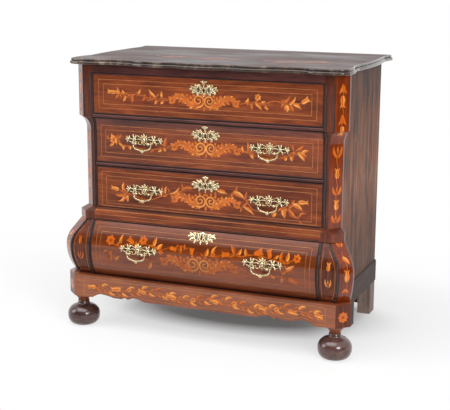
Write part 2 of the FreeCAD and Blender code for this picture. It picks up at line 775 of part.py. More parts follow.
def key_opening(drawer):
    """Keyhole: a round with a slot under it."""
    slot = board(
        -KEY_SLOT_WIDTH / 2, KEY_SLOT_WIDTH / 2, drawer["back"], FAR / 2,
        drawer["key_z"] - KEY_SLOT_LENGTH, drawer["key_z"])
    middle = V(0, y_at(FAR / 2), drawer["key_z"])
    eye = bar(eight_sided(middle, KEY_RADIUS, ALONG_X, ALONG_Z), ALONG_Y * (FAR / 2 - drawer["back"]))
    return joined([eye, slot])


def lock_parts(drawer):
    """Lock case let into the back of the front, and the bolt that rises out of it."""
    back = drawer["back"]
    top = drawer["front_high"]
    low = drawer["key_z"] - LOCK_BELOW_KEY
    middle = back + LOCK_THICK / 2
    half_bolt = BOLT_THICK / 2
    case = board(-LOCK_HALF, LOCK_HALF, back, back + LOCK_THICK, low, top)
    bolt_top = top - BOLT_SET
    bolt_low = bolt_top - BOLT_LENGTH
    bolt = board(-BOLT_HALF, BOLT_HALF, middle - half_bolt, middle + half_bolt, bolt_low, bolt_top)
    room = board(
        -BOLT_HALF - BOLT_CLEARANCE, BOLT_HALF + BOLT_CLEARANCE,
        middle - half_bolt - BOLT_CLEARANCE, middle + half_bolt + BOLT_CLEARANCE,
        bolt_low - BOLT_CLEARANCE, top)
    return case, case.cut(room), bolt


def bolt_mortise(drawer):
    """Slot in the rail above a drawer, which takes the thrown bolt."""
    middle = drawer["back"] + LOCK_THICK / 2
    half = BOLT_THICK / 2 + BOLT_MORTISE_CLEARANCE
    wide = BOLT_HALF + BOLT_MORTISE_CLEARANCE
    low = drawer["high"]
    return board(-wide, wide, middle - half, middle + half, low, low + BOLT_MORTISE_DEPTH)


# Brasses


# Leafy outlines of the plates, right of their middle line: how far across and how far up
PLATE_OUTLINE = [
    (0, 23), (8, 14), (27, 17), (32, 10), (45, 15), (50, 8), (66, 12), (62, -9), (50, -6), (42, -13),
    (33, -8), (24, -15), (0, -15),
]
ESCUTCHEON_OUTLINE = [
    (0, 35), (8, 29), (7, 19), (27, 18), (33, 10), (48, 8), (46, -10), (32, -8), (23, -18), (10, -14),
    (0, -24),
]
# Diamond piercings of the plates: how far across, how far up, half width, half height
PLATE_PIERCING = (20, 2, 5, 4)
ESCUTCHEON_PIERCING = (24, 3, 5, 6)


def outline_bar(points, x, z):
    """A long bar along the depth with this outline."""
    corners = [V(x + across, -FAR / 2, z + up) for across, up in points]
    return bar(corners + corners[:1], ALONG_Y * FAR)


def plate_on_front(drawer, outline, piercing, x, z):
    """Pierced plate that lies on the drawer front and bends with it."""
    across, up, wide, high = piercing
    diamond = [(wide, 0), (0, high), (-wide, 0), (0, -high)]
    left = [(-px, pz) for px, pz in outline[-2:0:-1]]
    holes = [outline_bar(diamond, x + side, z + up) for side in (across, -across)]
    shape = outline_bar(outline + left, x, z).cut(holes)
    skin = front_body(-OPENING_HALF, OPENING_HALF)
    under = skin.copy()
    skin.translate(-ALONG_Y * PLATE_THICK)
    reach = board(-OPENING_HALF, OPENING_HALF, 0, FAR, drawer["front_low"], drawer["front_high"])
    return shape.common(skin).cut(under).common(reach)


def escutcheon(drawer):
    plate = plate_on_front(drawer, ESCUTCHEON_OUTLINE, ESCUTCHEON_PIERCING, 0, drawer["key_z"])
    return plate.cut(key_opening(drawer))


def handle_plate(drawer, x):
    plate_z = (drawer["low"] + drawer["high"]) / 2 + HANDLE_LIFTS[drawer["name"]]
    return plate_on_front(drawer, PLATE_OUTLINE, PLATE_PIERCING, x, plate_z)


def surface_depth(z):
    """Depth of the front line at a height, read from the front itself."""
    probe = line(V(0, y_at(BODY_BACK_DEPTH), z), V(0, y_at(FAR / 2), z))
    inside = front_body(-1, 1).common(probe)
    return BACK_Y - inside.BoundBox.YMin


def handle_axis(drawer):
    """Depth and height of a bail's axis."""
    z = (drawer["low"] + drawer["high"]) / 2 + HANDLE_LIFTS[drawer["name"]] - AXIS_BELOW_PLATE
    return surface_depth(z) + PLATE_THICK + POST_STAND, z


def handle_post(drawer, x):
    """Eight-sided post on a square shank through the drawer front, bored for the bail's pin."""
    depth, z = handle_axis(drawer)
    plate_face = depth - POST_STAND

    def ring(radius, from_back):
        return eight_sided(V(x, y_at(from_back), z), radius, ALONG_X, ALONG_Z)

    head = faceted([
        ring(POST_BASE_RADIUS, plate_face),
        ring(POST_NECK_RADIUS, depth - POST_HEAD_RADIUS),
        ring(POST_HEAD_RADIUS, depth - POST_EYE),
        ring(POST_NECK_RADIUS, depth + POST_HEAD_RADIUS),
    ])
    half = POST_SHANK / 2
    shank = board(x - half, x + half, drawer["back"], plate_face, z - half, z + half)
    start = V(x - POST_HEAD_RADIUS, y_at(depth), z)
    bore = bar(eight_sided(start, PIN_BORE_RADIUS, ALONG_Y, ALONG_Z), ALONG_X * (2 * POST_HEAD_RADIUS))
    return joined([head, shank]).cut(bore)


def mitred(points, offset):
    """The points of a bent line, moved sideways so that its runs stay parallel."""
    moved = []
    for before, point, after in zip([None] + points[:-1], points, points[1:] + [None]):
        sides = [(b - a).normalize().cross(ALONG_Y) for a, b in ((before, point), (point, after)) if a and b]
        total = sides[0] + sides[-1]
        moved.append(point + total * (2 * offset / total.dot(total)))
    return moved


def bail(drawer, x):
    """Drop handle: a bar bent into a loop with a knop, hung by two pins that point inward."""
    depth, z = handle_axis(drawer)
    middle = V(x, y_at(depth), z)
    hip_x = BAIL_HALF - BAIL_HIP_RADIUS
    turn = math.radians(BAIL_HIP_TURN)
    path = [V(BAIL_HALF, 0, BAIL_RADIUS)]
    for step in range(BAIL_HIP_STEPS + 1):
        angle = turn * step / BAIL_HIP_STEPS
        path.append(V(
            hip_x + BAIL_HIP_RADIUS * math.cos(angle), 0, -BAIL_ARM - BAIL_HIP_RADIUS * math.sin(angle)))
    knop_z = path[-1].z - path[-1].x / math.tan(turn)
    path.append(V(0, 0, knop_z))
    path += [V(-point.x, 0, point.z) for point in path[-2::-1]]
    outline = mitred(path, BAIL_RADIUS) + mitred(path, -BAIL_RADIUS)[::-1]
    back = middle + ALONG_Y * BAIL_RADIUS
    loop = bar([back + point for point in outline + outline[:1]], -ALONG_Y * (2 * BAIL_RADIUS))
    pin_end = POST_X - POST_HEAD_RADIUS / 2
    pins = []
    for side in (ALONG_X, -ALONG_X):
        pins.append(Part.makeCylinder(PIN_RADIUS, BAIL_HALF - pin_end, middle + side * pin_end, side))
    knop_middle = middle + V(0, BAIL_KNOP_THICK / 2, knop_z)
    knop = bar(eight_sided(knop_middle, BAIL_KNOP_RADIUS, ALONG_X, ALONG_Z), -ALONG_Y * BAIL_KNOP_THICK)
    return joined([loop, knop] + pins)


def build():
    """All pieces by name; a list is a group of separate solids."""
    pieces = {}
    post = corner_post()
    panel = side_panel()
    bottom = bottom_board()
    backs = back_boards()
    rails = {
        "frieze_rail": frieze_rail(),
        "upper_rail": nosed_rail(BLOCK_DEPTH, UPPER_RAIL_Z),
        "middle_rail": nosed_rail(RECESS_DEPTH, MIDDLE_RAIL_Z),
        "waist_rail": waist_rail(),
    }
    post = post.cut([panel] + list(rails.values()))
    panel = panel.cut([bottom] + backs)
    plinth = front_plinth()
    foot = bun_foot()
    block = plinth_corner_block().cut([plinth, foot])
    beads = corner_beads()

    pieces["top_board"] = top_board()
    pieces["left_side_panel"] = mirrored(panel)
    pieces["right_side_panel"] = panel
    pieces["back_boards"] = backs
    pieces["bottom_board"] = bottom
    pieces["left_corner_post"] = mirrored(post)
    pieces["right_corner_post"] = post
    pieces["corner_beads"] = beads + [mirrored(bead) for bead in beads]
    for name, drawer in zip(rails, DRAWERS):
        pieces[name] = rails[name].cut(bolt_mortise(drawer))
    pieces["drawer_runners"] = drawer_runners()
    pieces["drawer_guides"] = drawer_guides()
    pieces["drawer_stops"] = drawer_stops()
    pieces["front_plinth"] = plinth
    pieces["left_plinth"] = mirrored(side_plinth())
    pieces["right_plinth"] = side_plinth()
    pieces["plinth_corner_blocks"] = pair(block)
    pieces["front_feet"] = pair(foot)
    pieces["left_rear_foot"] = mirrored(rear_foot())
    pieces["right_rear_foot"] = rear_foot()
    for drawer in DRAWERS:
        pieces.update(drawer_pieces(drawer))
    return pieces


def drawer_pieces(drawer):
    """One drawer with its lock, its brasses and the bails that swing on them."""
    name = drawer["name"]
    pieces = {}
    blank = board(
        -DRAWER_HALF, DRAWER_HALF, drawer["back"], FAR / 2, drawer["front_low"], drawer["front_high"])
    front = front_body(-DRAWER_HALF, DRAWER_HALF).common(blank)
    bottom = drawer_bottom(drawer)
    back = drawer_back(drawer)
    side = drawer_side(drawer)
    lock_block, lock, bolt = lock_parts(drawer)
    front = front.cut(pair(side) + [bottom, lock_block, key_opening(drawer)])
    brasses = [escutcheon(drawer)]
    if name in HANDLE_LIFTS:
        for hand, x in (("left", -HANDLE_X), ("right", HANDLE_X)):
            posts = [handle_post(drawer, x - POST_X), handle_post(drawer, x + POST_X)]
            brasses += [handle_plate(drawer, x).cut(posts)] + posts
            front = front.cut(posts)
            pieces[name + "_" + hand + "_bail"] = bail(drawer, x)
    pieces[name + "_front"] = front
    pieces[name + "_sides"] = pair(side.cut([bottom, back]))
    pieces[name + "_back"] = back
    pieces[name + "_bottom"] = bottom
    pieces[name + "_lock"] = lock
    pieces[name + "_lock_bolt"] = bolt
    pieces[name + "_brasses"] = brasses
    return pieces


def main():
    os.makedirs("parts", exist_ok=True)
    for name, shape in build().items():
        whole = Part.makeCompound(shape) if isinstance(shape, list) else shape
        whole.exportStep("parts/" + name + ".step")


main()
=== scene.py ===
from functools import lru_cache
import json
import math
from math import cos, hypot, pi, radians, sin
import bpy
from mathutils import Matrix, Vector
from mathutils.bvhtree import BVHTree


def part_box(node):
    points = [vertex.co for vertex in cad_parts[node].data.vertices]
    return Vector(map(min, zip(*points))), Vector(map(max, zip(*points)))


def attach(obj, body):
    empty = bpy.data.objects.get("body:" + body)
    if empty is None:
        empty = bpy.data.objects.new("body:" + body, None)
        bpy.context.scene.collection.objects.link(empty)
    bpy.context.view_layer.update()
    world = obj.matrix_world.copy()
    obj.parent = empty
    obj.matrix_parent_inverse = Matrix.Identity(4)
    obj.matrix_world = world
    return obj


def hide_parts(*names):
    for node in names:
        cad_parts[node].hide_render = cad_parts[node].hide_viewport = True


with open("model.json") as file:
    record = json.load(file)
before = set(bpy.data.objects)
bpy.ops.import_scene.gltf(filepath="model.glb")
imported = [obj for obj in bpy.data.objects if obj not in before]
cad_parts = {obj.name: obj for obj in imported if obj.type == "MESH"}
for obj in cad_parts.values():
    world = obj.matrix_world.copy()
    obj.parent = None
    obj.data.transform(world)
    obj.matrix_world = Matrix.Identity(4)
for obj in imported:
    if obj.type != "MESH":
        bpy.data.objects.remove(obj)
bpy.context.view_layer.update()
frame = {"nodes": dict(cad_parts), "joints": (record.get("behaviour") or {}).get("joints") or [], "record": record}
NODES = frame["nodes"]
MM = 0.001


# Colours and materials

def rgb(red, green, blue):
    """A colour given as the eye sees it, turned into linear light."""
    out = []
    for value in (red, green, blue):
        share = value / 255
        out.append(share / 12.92 if share <= 0.04045 else ((share + 0.055) / 1.055) ** 2.4)
    return (out[0], out[1], out[2], 1)


def grey(level):
    return (level, level, level, 1)


def add(tree, kind, output, wires=None, **settings):
    """The output of a new shader node; each of its inputs is wired to a socket or holds a value."""
    node = tree.nodes.new("ShaderNode" + kind)
    for key, value in settings.items():
        setattr(node, key, value)
    for key, value in (wires or {}).items():
        if isinstance(value, bpy.types.NodeSocket):
            tree.links.new(value, node.inputs[key])
        else:
            node.inputs[key].default_value = value
    return node.outputs[output]


def new_material(name, rough, coat, coat_rough, metal, specular):
    material = bpy.data.materials.new(name)
    material.use_nodes = True
    shader = material.node_tree.nodes["Principled BSDF"]
    shader.inputs["Roughness"].default_value = rough
    shader.inputs["Coat Weight"].default_value = coat
    shader.inputs["Coat Roughness"].default_value = coat_rough
    shader.inputs["Metallic"].default_value = metal
    shader.inputs["Specular IOR Level"].default_value = specular
    return material, material.node_tree, shader


def ramp(tree, value, stops):
    """The colour that a scale of stops has at a value."""
    node = tree.nodes.new("ShaderNodeValToRGB")
    tree.links.new(value, node.inputs["Fac"])
    scale = node.color_ramp.elements
    for element, (position, colour) in ((scale[0], stops[0]), (scale[1], stops[-1])):
        element.position = position
        element.color = colour
    for position, colour in stops[1:-1]:
        scale.new(position).color = colour
    return node.outputs["Color"]


EVEN = (1, 1, 1)


def stretched(tree, spread):
    """Object coordinates, drawn out along the grain."""
    return add(tree, "Mapping", "Vector", {"Vector": add(tree, "TexCoord", "Object"), "Scale": spread})


def noise(tree, spread, scale, detail, rough=0.55, distortion=0):
    wires = {"Vector": stretched(tree, spread), "Scale": scale, "Detail": detail, "Roughness": rough}
    return add(tree, "TexNoise", "Fac", dict(wires, Distortion=distortion))


def mixed(tree, kind, share, first, second):
    wires = {"Factor": share, "A": first, "B": second}
    return add(tree, "Mix", "Result", wires, data_type="RGBA", blend_type=kind)


def bump(tree, shader, height, strength, depth):
    normal = add(tree, "Bump", "Normal", {"Strength": strength, "Distance": depth * MM, "Height": height})
    tree.links.new(normal, shader.inputs["Normal"])


def by_height(tree, colour, stops):
    """The colour made darker or lighter with the height above the floor, in metres."""
    tones = []
    for height, level in stops:
        tone = level if isinstance(level, tuple) else (level, level * 0.97, level * 0.95, 1)
        tones.append((height, tone))
    above = add(tree, "SeparateXYZ", "Z", {"Vector": stretched(tree, EVEN)})
    return mixed(tree, "MULTIPLY", 1, colour, ramp(tree, above, tones))


WOOD_SPECULAR = 0.12
STREAKS = (9, 8, 0.62, 0.4)
CLOUDS = (3, 3)
CLEAR_CLOUD = (1.12, 1.1, 1.06, 1)
# How a veneer lies: the spread of its streaks and that of its figure
LENGTHWISE = ((1, 9, 9), (1.2, 2.5, 2.5))
UPRIGHT = ((9, 9, 1), (2.5, 2.5, 1.2))


def wood(name, dark, middle, light, lie, rough=0.34, coat=0.4, coat_rough=0.1, cloud=0.6, heights=None,
         mottle=None):
    """Polished veneer: fine streaks along the grain over broad clouds of figure."""
    material, tree, shader = new_material(name, rough, coat, coat_rough, 0, WOOD_SPECULAR)
    streaks = noise(tree, lie[0], *STREAKS)
    clouds = noise(tree, lie[1], *CLOUDS)
    tint = ramp(tree, streaks, ((0.3, rgb(*dark)), (0.52, rgb(*middle)), (0.75, rgb(*light))))
    shade = ramp(tree, clouds, ((0.32, (cloud, cloud * 0.95, cloud * 0.92, 1)), (0.66, CLEAR_CLOUD)))
    colour = mixed(tree, "MULTIPLY", 1, tint, shade)
    if heights:
        colour = by_height(tree, colour, heights)
    tree.links.new(colour, shader.inputs["Base Color"])
    bump(tree, shader, streaks, 0.25, 0.25)
    if mottle:
        low, high = mottle
        wires = {"Value": clouds, "From Min": 0.35, "From Max": 0.65, "To Min": low, "To Max": high}
        tree.links.new(add(tree, "MapRange", "Result", wires), shader.inputs["Roughness"])
    return material


def side_wood():
    """Worn upright boards: dark streaks with grey and orange ones among them, with a painted sheen across the
    middle height and painted shade towards the top and bottom.
    """
    material, tree, shader = new_material("side_wood", 0.5, 0, 0.2, 0, 0.1)
    fine = noise(tree, (8, 44, 0.5), 5, 7, 0.65, 0.15)
    broad = noise(tree, (3, 9, 2.4), 2.6, 5, 0.6, 0.6)
    streaks = ramp(tree, fine, (
        (0.36, rgb(36, 23, 22)), (0.46, rgb(60, 40, 35)), (0.54, rgb(96, 68, 54)),
        (0.66, rgb(178, 148, 126))))
    patches = ramp(tree, broad, (
        (0.38, rgb(54, 40, 40)), (0.47, rgb(82, 60, 50)), (0.54, rgb(132, 70, 34)),
        (0.64, rgb(122, 94, 78))))
    colour = mixed(tree, "MIX", 0.55, streaks, patches)
    # Painted light: lighter across the middle height as a sheen, painted shade towards the top and bottom.
    colour = by_height(tree, colour, ((0.2, 0.75), (0.34, 0.9), (0.5, 1.5), (0.66, 1.15), (0.86, 0.68)))
    tree.links.new(colour, shader.inputs["Base Color"])
    bump(tree, shader, fine, 0.35, 0.4)
    return material


def uneven(made, scale, detail, dark, light, heights=None):
    """Gives a new material a colour that varies a little."""
    material, tree, shader = made
    colour = ramp(tree, noise(tree, EVEN, scale, detail), ((0.3, rgb(*dark)), (0.7, rgb(*light))))
    if heights:
        colour = by_height(tree, colour, heights)
    tree.links.new(colour, shader.inputs["Base Color"])
    return material


def inlay(name, dark, light, rough=0.34, coat=0.6, heights=None):
    """Cut veneer of the marquetry."""
    made = new_material(name, rough, coat, 0.1, 0, WOOD_SPECULAR)
    return uneven(made, 60, 3, dark, light, heights)


def plain_material(name, colour, rough, metal=0):
    material, _, shader = new_material(name, rough, 0, 0.1, metal, 0.5)
    shader.inputs["Base Color"].default_value = colour
    return material


# Painted shade and sheen on the coved front, by height: a dark purple band at the top of the cove where shade
# falls, over a painted sheen line at its lower lip.
COVE_SHADE_AND_SHEEN = (
    (0.652, 1), (0.661, 1.25), (0.668, (0.9, 1, 1.9, 1)), (0.677, (0.74, 0.78, 1.8, 1)),
    (0.692, (0.6, 0.62, 1.5, 1)))
# Painted light on the bombé front, by height: painted shade along its bottom edge and in a band below its top, a
# painted reflection of the floor lighting its lower part, and a painted sheen along the top.
BOMBE_SHADE_AND_REFLECTION = ((0.18, 0.7), (0.205, 1.05), (0.23, 1.35), (0.27, 1.1), (0.325, 0.78), (0.345, 1.1))
VENEER = wood("veneer", (84, 30, 8), (126, 56, 20), (158, 82, 34), LENGTHWISE)
COVED = wood(
    "coved_veneer", (84, 32, 10), (126, 58, 24), (158, 84, 38), LENGTHWISE, 0.34, 0.6, 0.12, 0.6, COVE_SHADE_AND_SHEEN)
BOMBE = wood(
    "bombe_veneer", (88, 38, 12), (110, 50, 17), (130, 64, 24), ((1, 9, 9), (1.2, 1.5, 1.5)),
    0.34, 0.9, 0.08, 0.85, BOMBE_SHADE_AND_REFLECTION)
POST = wood("post_veneer", (68, 27, 14), (98, 45, 25), (124, 64, 38), UPRIGHT)
PLINTH = wood(
    "plinth_veneer", (114, 58, 32), (138, 76, 45), (160, 96, 60), LENGTHWISE, 0.34, 0.9, 0.1, 0.8)
CANT = wood("cant_veneer", (94, 32, 3), (126, 48, 5), (150, 64, 10), UPRIGHT, 0.34, 0.9)
RAIL = wood("rail_veneer", (60, 30, 28), (84, 45, 42), (106, 61, 54), LENGTHWISE)
SIDE = side_wood()
SIDE_PLINTH = wood(
    "side_plinth_wood", (44, 32, 30), (62, 46, 42), (80, 58, 50), ((6, 1, 8), (2, 1, 2)),
    0.5, 0)
TOP = wood(
    "top_veneer", (52, 35, 36), (74, 51, 51), (98, 65, 60), ((1, 6, 6), (1.6, 3, 1)),
    0.4, 0.1, cloud=0.5, mottle=(0.3, 0.55))
# The moulded edge of the top: dark wood with pale patches that are painted glints.
EDGE = wood(
    "edge_wood_painted_glints", (34, 24, 20), (66, 48, 38), (150, 134, 120), ((3, 3, 3), (1.5, 1.5, 1.5)), 0.2, 0.8)
BEAD = wood(
    "bead_wood", (56, 36, 32), (74, 50, 44), (98, 72, 62), ((5, 5, 2), (2, 2, 1)),
    0.22, 0.8, 0.06)
FOOT = wood(
    "foot_wood", (66, 44, 42), (90, 62, 58), (116, 84, 78), ((5, 5, 8), (2, 2, 3)),
    0.3, 1, 0.16)
# The rear feet: painted much lighter than the side plinths, painted light where the right rear foot faces the
# lamps.
REAR_FEET_PAINTED_LIGHT = wood(
    "rear_foot_wood_painted_light", (112, 96, 90), (138, 120, 112), (162, 144, 134), ((8, 8, 1), (2, 2, 1)),
    0.5, 0)
OAK = wood(
    "oak", (160, 112, 72), (184, 138, 92), (202, 160, 114), ((1, 8, 8), (1, 2, 2)),
    0.6, 0, 0.3, 0.8)
BACK_TONES = ((1, 0.72, 0.52), (1.2, 0.9, 0.66), (1.4, 1.08, 0.8))
BACK_LIE = ((9, 9, 0.7), (2.5, 2.5, 0.6))
BACKS = []
for number, level in enumerate((96, 112)):
    tones = [[level * share for share in tone] for tone in BACK_TONES]
    BACKS.append(wood("back_wood_%d" % number, *tones, BACK_LIE, 0.6, 0, 0.3, 0.75))
BRASS = uneven(new_material("brass", 0.27, 0, 0.1, 1, 0.5), 220, 4, (178, 155, 110), (232, 216, 182))
SHIELD = plain_material("brass_shield", rgb(120, 116, 100), 0.3, 1)
IRON = plain_material("iron", rgb(70, 66, 62), 0.55, 0.7)
DARK = plain_material("shadow_line", rgb(24, 14, 12), 0.6)
# Dark pads under the clusters of the brasses: painted shadow on the wood round them.
BRASS_SHADOW_PADS = plain_material("brass_painted_shadow", rgb(62, 46, 26), 0.5, 0.3)
# The tints of the marquetry; the last one, dark, is painted shadow for gaps.
LIGHT, MID, SHADE, LINE, VIVID, GAP_SHADOW = range(6)
INLAY_TONES = (
    ("pale", (204, 126, 50), (232, 160, 78)), ("orange", (176, 84, 20), (210, 110, 30)),
    ("brown", (124, 56, 14), (158, 78, 24)), ("string", (158, 96, 50), (190, 124, 70)),
    ("flame", (190, 80, 12), (218, 110, 30)))


def inlays(prefix, heights=None):
    """The veneers of the marquetry, in the order of their numbers above."""
    return [inlay(prefix + name, dark, light, heights=heights) for name, dark, light in INLAY_TONES] + [DARK]


INLAYS = inlays("inlay_")
# The bombé's inlays are darker towards its bottom: painted shade where the front turns under.
BOMBE_INLAYS = inlays("bombe_inlay_", ((0.25, 0.66), (0.268, 0.74), (0.288, 0.95)))


# Meshes

LAYER_LIFT = (0.12, 0.21, 0.3, 0.39)
VENEER_STEP, VENEER_TURNS = 0.003, 29


def add_object(name, points, faces, materials):
    mesh = bpy.data.meshes.new(name)
    mesh.from_pydata([tuple(p) for p in points], [], faces)
    for material in materials:
        mesh.materials.append(material)
    obj = bpy.data.objects.new(name, mesh)
    bpy.context.scene.collection.objects.link(obj)
    return obj


class Pile:
    """Gathers the points and faces of one visual piece."""

    def __init__(self):
        self.points = []
        self.faces = []
        self.tints = []
        self.count = 0

    def lift(self, layer):
        """How far the next veneer stands proud, so that no two of them lie in one plane."""
        self.count += 1
        return LAYER_LIFT[layer] + VENEER_STEP * (self.count % VENEER_TURNS)

    def add(self, points, faces, tints):
        start = len(self.points)
        self.points.extend(points)
        for face in faces:
            self.faces.append([start + i for i in face])
        if isinstance(tints, int):
            tints = [tints] * len(faces)
        self.tints.extend(tints)

    def build(self, name, body, materials, replaced=()):
        obj = add_object(name, self.points, self.faces, materials)
        for polygon, tint in zip(obj.data.polygons, self.tints):
            polygon.material_index = tint
            polygon.use_smooth = True
        obj.data.update()
        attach(obj, body)
        if replaced:
            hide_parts(*replaced)
        return obj


@lru_cache(None)
def tree_of(node):
    """The faces of a piece, for finding points on it."""
    mesh = NODES[node].data
    points = [v.co.copy() for v in mesh.vertices]
    faces = [tuple(p.vertices) for p in mesh.polygons]
    return BVHTree.FromPolygons(points, faces)


def paint(nodes, *materials, pick=None):
    """Gives pieces their materials; pick tells which of several a face has."""
    for node in nodes:
        mesh = NODES[node].data
        mesh.materials.clear()
        for material in materials:
            mesh.materials.append(material)
        if pick:
            for polygon in mesh.polygons:
                polygon.material_index = pick(polygon)


BACK_BOARD_WIDTH = (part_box("back_boards")[1][0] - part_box("back_boards")[0][0]) / 4
CANT_LEAN, SIDE_LEAN = 0.3, 0.9


def canted(polygon):
    return int(abs(polygon.normal.x) > CANT_LEAN and polygon.normal.y < -CANT_LEAN)


def block_face(polygon):
    """1 for the canted faces of a plinth corner, 2 for its outer sides."""
    return canted(polygon) or (2 if abs(polygon.normal.x) > SIDE_LEAN else 0)


def back_board(polygon):
    return int(math.floor(polygon.center.x / BACK_BOARD_WIDTH)) % 2


SLOT_MATERIALS = {
    "veneer": VENEER, "side_wood": SIDE, "top_veneer": TOP, "ebonised": BEAD, "oak": OAK, "brass": BRASS,
    "iron": IRON}
for row in frame["record"]["subparts"]:
    paint([row["node"]], SLOT_MATERIALS[row["material_slot"]])
# The bottom board takes the dark rail veneer too: painted shade in the line under the bombé drawer.
paint(["frieze_rail", "upper_rail", "middle_rail", "bottom_board"], RAIL)
paint(["front_plinth"], PLINTH)
paint(["left_corner_post", "right_corner_post"], POST, CANT, pick=canted)
paint(["plinth_corner_blocks"], PLINTH, POST, SIDE_PLINTH, pick=block_face)
paint(["left_plinth", "right_plinth"], SIDE_PLINTH)
paint(["left_rear_foot", "right_rear_foot"], REAR_FEET_PAINTED_LIGHT)
paint(["front_feet"], FOOT)
paint(["back_boards"], *BACKS, pick=back_board)
paint(["drawer_2_front"], COVED)
paint(["drawer_4_front"], BOMBE)


# Where things lie on the chest

# Left and right
SIDES = (-1, 1)
BESIDE_KEYHOLE = 9


def on_front(node):
    """A way to put points on the front of a piece: across, up and proud, in millimetres.

    Over a keyhole the curve of a drawer front is taken from beside it.
    """
    found = tree_of(node)
    asides = (0, BESIDE_KEYHOLE * MM) if node.startswith("drawer") else (0,)

    def at(across, up, proud):
        for aside in asides:
            hit = found.ray_cast(Vector((across * MM + aside, -1, up * MM)), Vector((0, 1, 0)))
            if hit[0] is not None:
                return hit[0] - Vector((aside, 0, 0)) + hit[1] * (proud * MM)
        near = found.find_nearest(Vector((across * MM, -0.3, up * MM)))
        return near[0] + near[1] * (proud * MM)
    return at


def on_cant(node, side, middle):
    """The same for a canted corner; across is measured along the cant from its middle line."""
    found = tree_of(node)
    inward = Vector((-side, 1, 0)).normalized()
    along = Vector((side, 1, 0)).normalized()

    def at(across, up, proud):
        start = Vector(middle) + along * (across * MM * side) - inward * 0.5
        start.z = up * MM
        hit = found.ray_cast(start, inward)
        if hit[0] is None:
            hit = found.find_nearest(start + inward * 0.5)
        return hit[0] + hit[1] * (proud * MM)
    return at


def curve(points, steps):
    """A smooth line through the given points."""
    ends = [points[0]] + list(points) + [points[-1]]
    out = []
    for a, b, c, d in zip(ends, ends[1:], ends[2:], ends[3:]):
        for i in range(steps):
            t = i / steps
            spot = []
            for p, q, r, s in zip(a, b, c, d):
                second = (2 * p - 5 * q + 4 * r - s) * t * t
                third = (3 * q - p - 3 * r + s) * t ** 3
                spot.append(0.5 * (2 * q + (r - p) * t + second + third))
            out.append(tuple(spot))
    out.append(tuple(points[-1]))
    return out


def sideways(line, i):
    """The unit step to the left of a line at its point number i."""
    a = line[max(i - 1, 0)]
    b = line[min(i + 1, len(line) - 1)]
    dx, dz = b[0] - a[0], b[1] - a[1]
    size = hypot(dx, dz) or 1
    return -dz / size, dx / size


def between(a, b, t):
    return a + (b - a) * t


def bent(base, tip, bend, steps):
    """A line from base to tip, bowed sideways by a share of its length."""
    dx, dz = tip[0] - base[0], tip[1] - base[1]
    line = []
    for i in range(steps + 1):
        t = i / steps
        bow = bend * 4 * t * (1 - t)
        line.append((base[0] + dx * t - dz * bow, base[1] + dz * t + dx * bow))
    return line


ROUND_SECTION = ((1, 0), (0.86, 0.5), (0.5, 0.87), (0, 1), (-0.5, 0.87), (-0.86, 0.5), (-1, 0))
LEAF_STEPS = 7
RING_STEPS = 20


def circle(steps):
    """Cosine and sine of even turns round a circle."""
    turns = [2 * pi * i / steps for i in range(steps)]
    return [(cos(turn), sin(turn)) for turn in turns]


def quads(rows, count, closed=True, start=0):
    """Faces between rows of points; closed rows are rings."""
    faces = []
    for j in range(rows - 1):
        for i in range(count if closed else count - 1):
            a = start + j * count + i
            b = start + j * count + (i + 1) % count
            faces.append((a, b, b + count, a + count))
    return faces


def capped(rows, count):
    """Faces between rings of points, with a cap on each end."""
    last = (rows - 1) * count
    return quads(rows, count) + [tuple(range(count))[::-1], tuple(range(last, last + count))]


def fan(count):
    """Faces from a middle point to the ring that follows it."""
    return [(0, 1 + i, 1 + (i + 1) % count) for i in range(count)]


def relief(pile, at, line, widths, heights, tint=0):
    """A raised strip with a rounded back along a line."""
    points = []
    for i, (x, z) in enumerate(line):
        sx, sz = sideways(line, i)
        width = widths[i]
        for share, lift in ROUND_SECTION:
            points.append(at(x + sx * width * share, z + sz * width * share, heights[i] * lift))
    pile.add(points, quads(len(line), len(ROUND_SECTION), False), tint)


def even_relief(pile, at, line, width, height, tint=0):
    relief(pile, at, line, [width] * len(line), [height] * len(line), tint)


def leaf_relief(pile, at, base, tip, width, height, bend=0):
    """A raised leaf with a round tip."""
    line = bent(base, tip, bend, LEAF_STEPS)
    widths = []
    heights = []
    for i in range(LEAF_STEPS + 1):
        t = i / LEAF_STEPS
        fullness = sin(pi * (0.1 + 0.8 * t)) ** 0.7
        widths.append(width * fullness)
        heights.append(height * (0.5 + 0.5 * sin(pi * t)))
    relief(pile, at, line, widths, heights)
    dome_relief(pile, at, line[-1][0], line[-1][1], width * 0.7, width * 0.7, height * 0.8, 0, 10, 3)


def strip_relief(pile, at, points, start, end, height):
    line = curve(points, 6)
    last = len(line) - 1
    widths = [between(start, end, i / last) for i in range(last + 1)]
    relief(pile, at, line, widths, [height] * (last + 1))


def ring_relief(pile, at, x, z, across, up, width, height):
    line = []
    for i in range(RING_STEPS + 1):
        turn = 2 * pi * i / RING_STEPS
        line.append((x + across * cos(turn), z + up * sin(turn)))
    even_relief(pile, at, line, width, height)


def dome_relief(pile, at, x, z, across, up, height, tint=0, steps=16, rows=5):
    points = [at(x, z, height)]
    for j in range(1, rows + 1):
        tilt = pi / 2 * j / rows
        wide, tall = across * sin(tilt), up * sin(tilt)
        for cosine, sine in circle(steps):
            points.append(at(x + wide * cosine, z + tall * sine, height * cos(tilt)))
    rings = [(a, d, c, b) for a, b, c, d in quads(rows, steps, True, 1)]
    pile.add(points, fan(steps) + rings, tint)


def turned(pile, centre, axis, profile, steps, tint=0):
    """A lathe shape: the profile lists distances along the axis and radii, in millimetres."""
    axis = Vector(axis).normalized()
    across = axis.orthogonal().normalized()
    other = axis.cross(across)
    points = []
    for reach, radius in profile:
        for cosine, sine in circle(steps):
            ray = across * cosine + other * sine
            points.append(Vector(centre) + axis * (reach * MM) + ray * (radius * MM))
    pile.add(points, capped(len(profile), steps), tint)


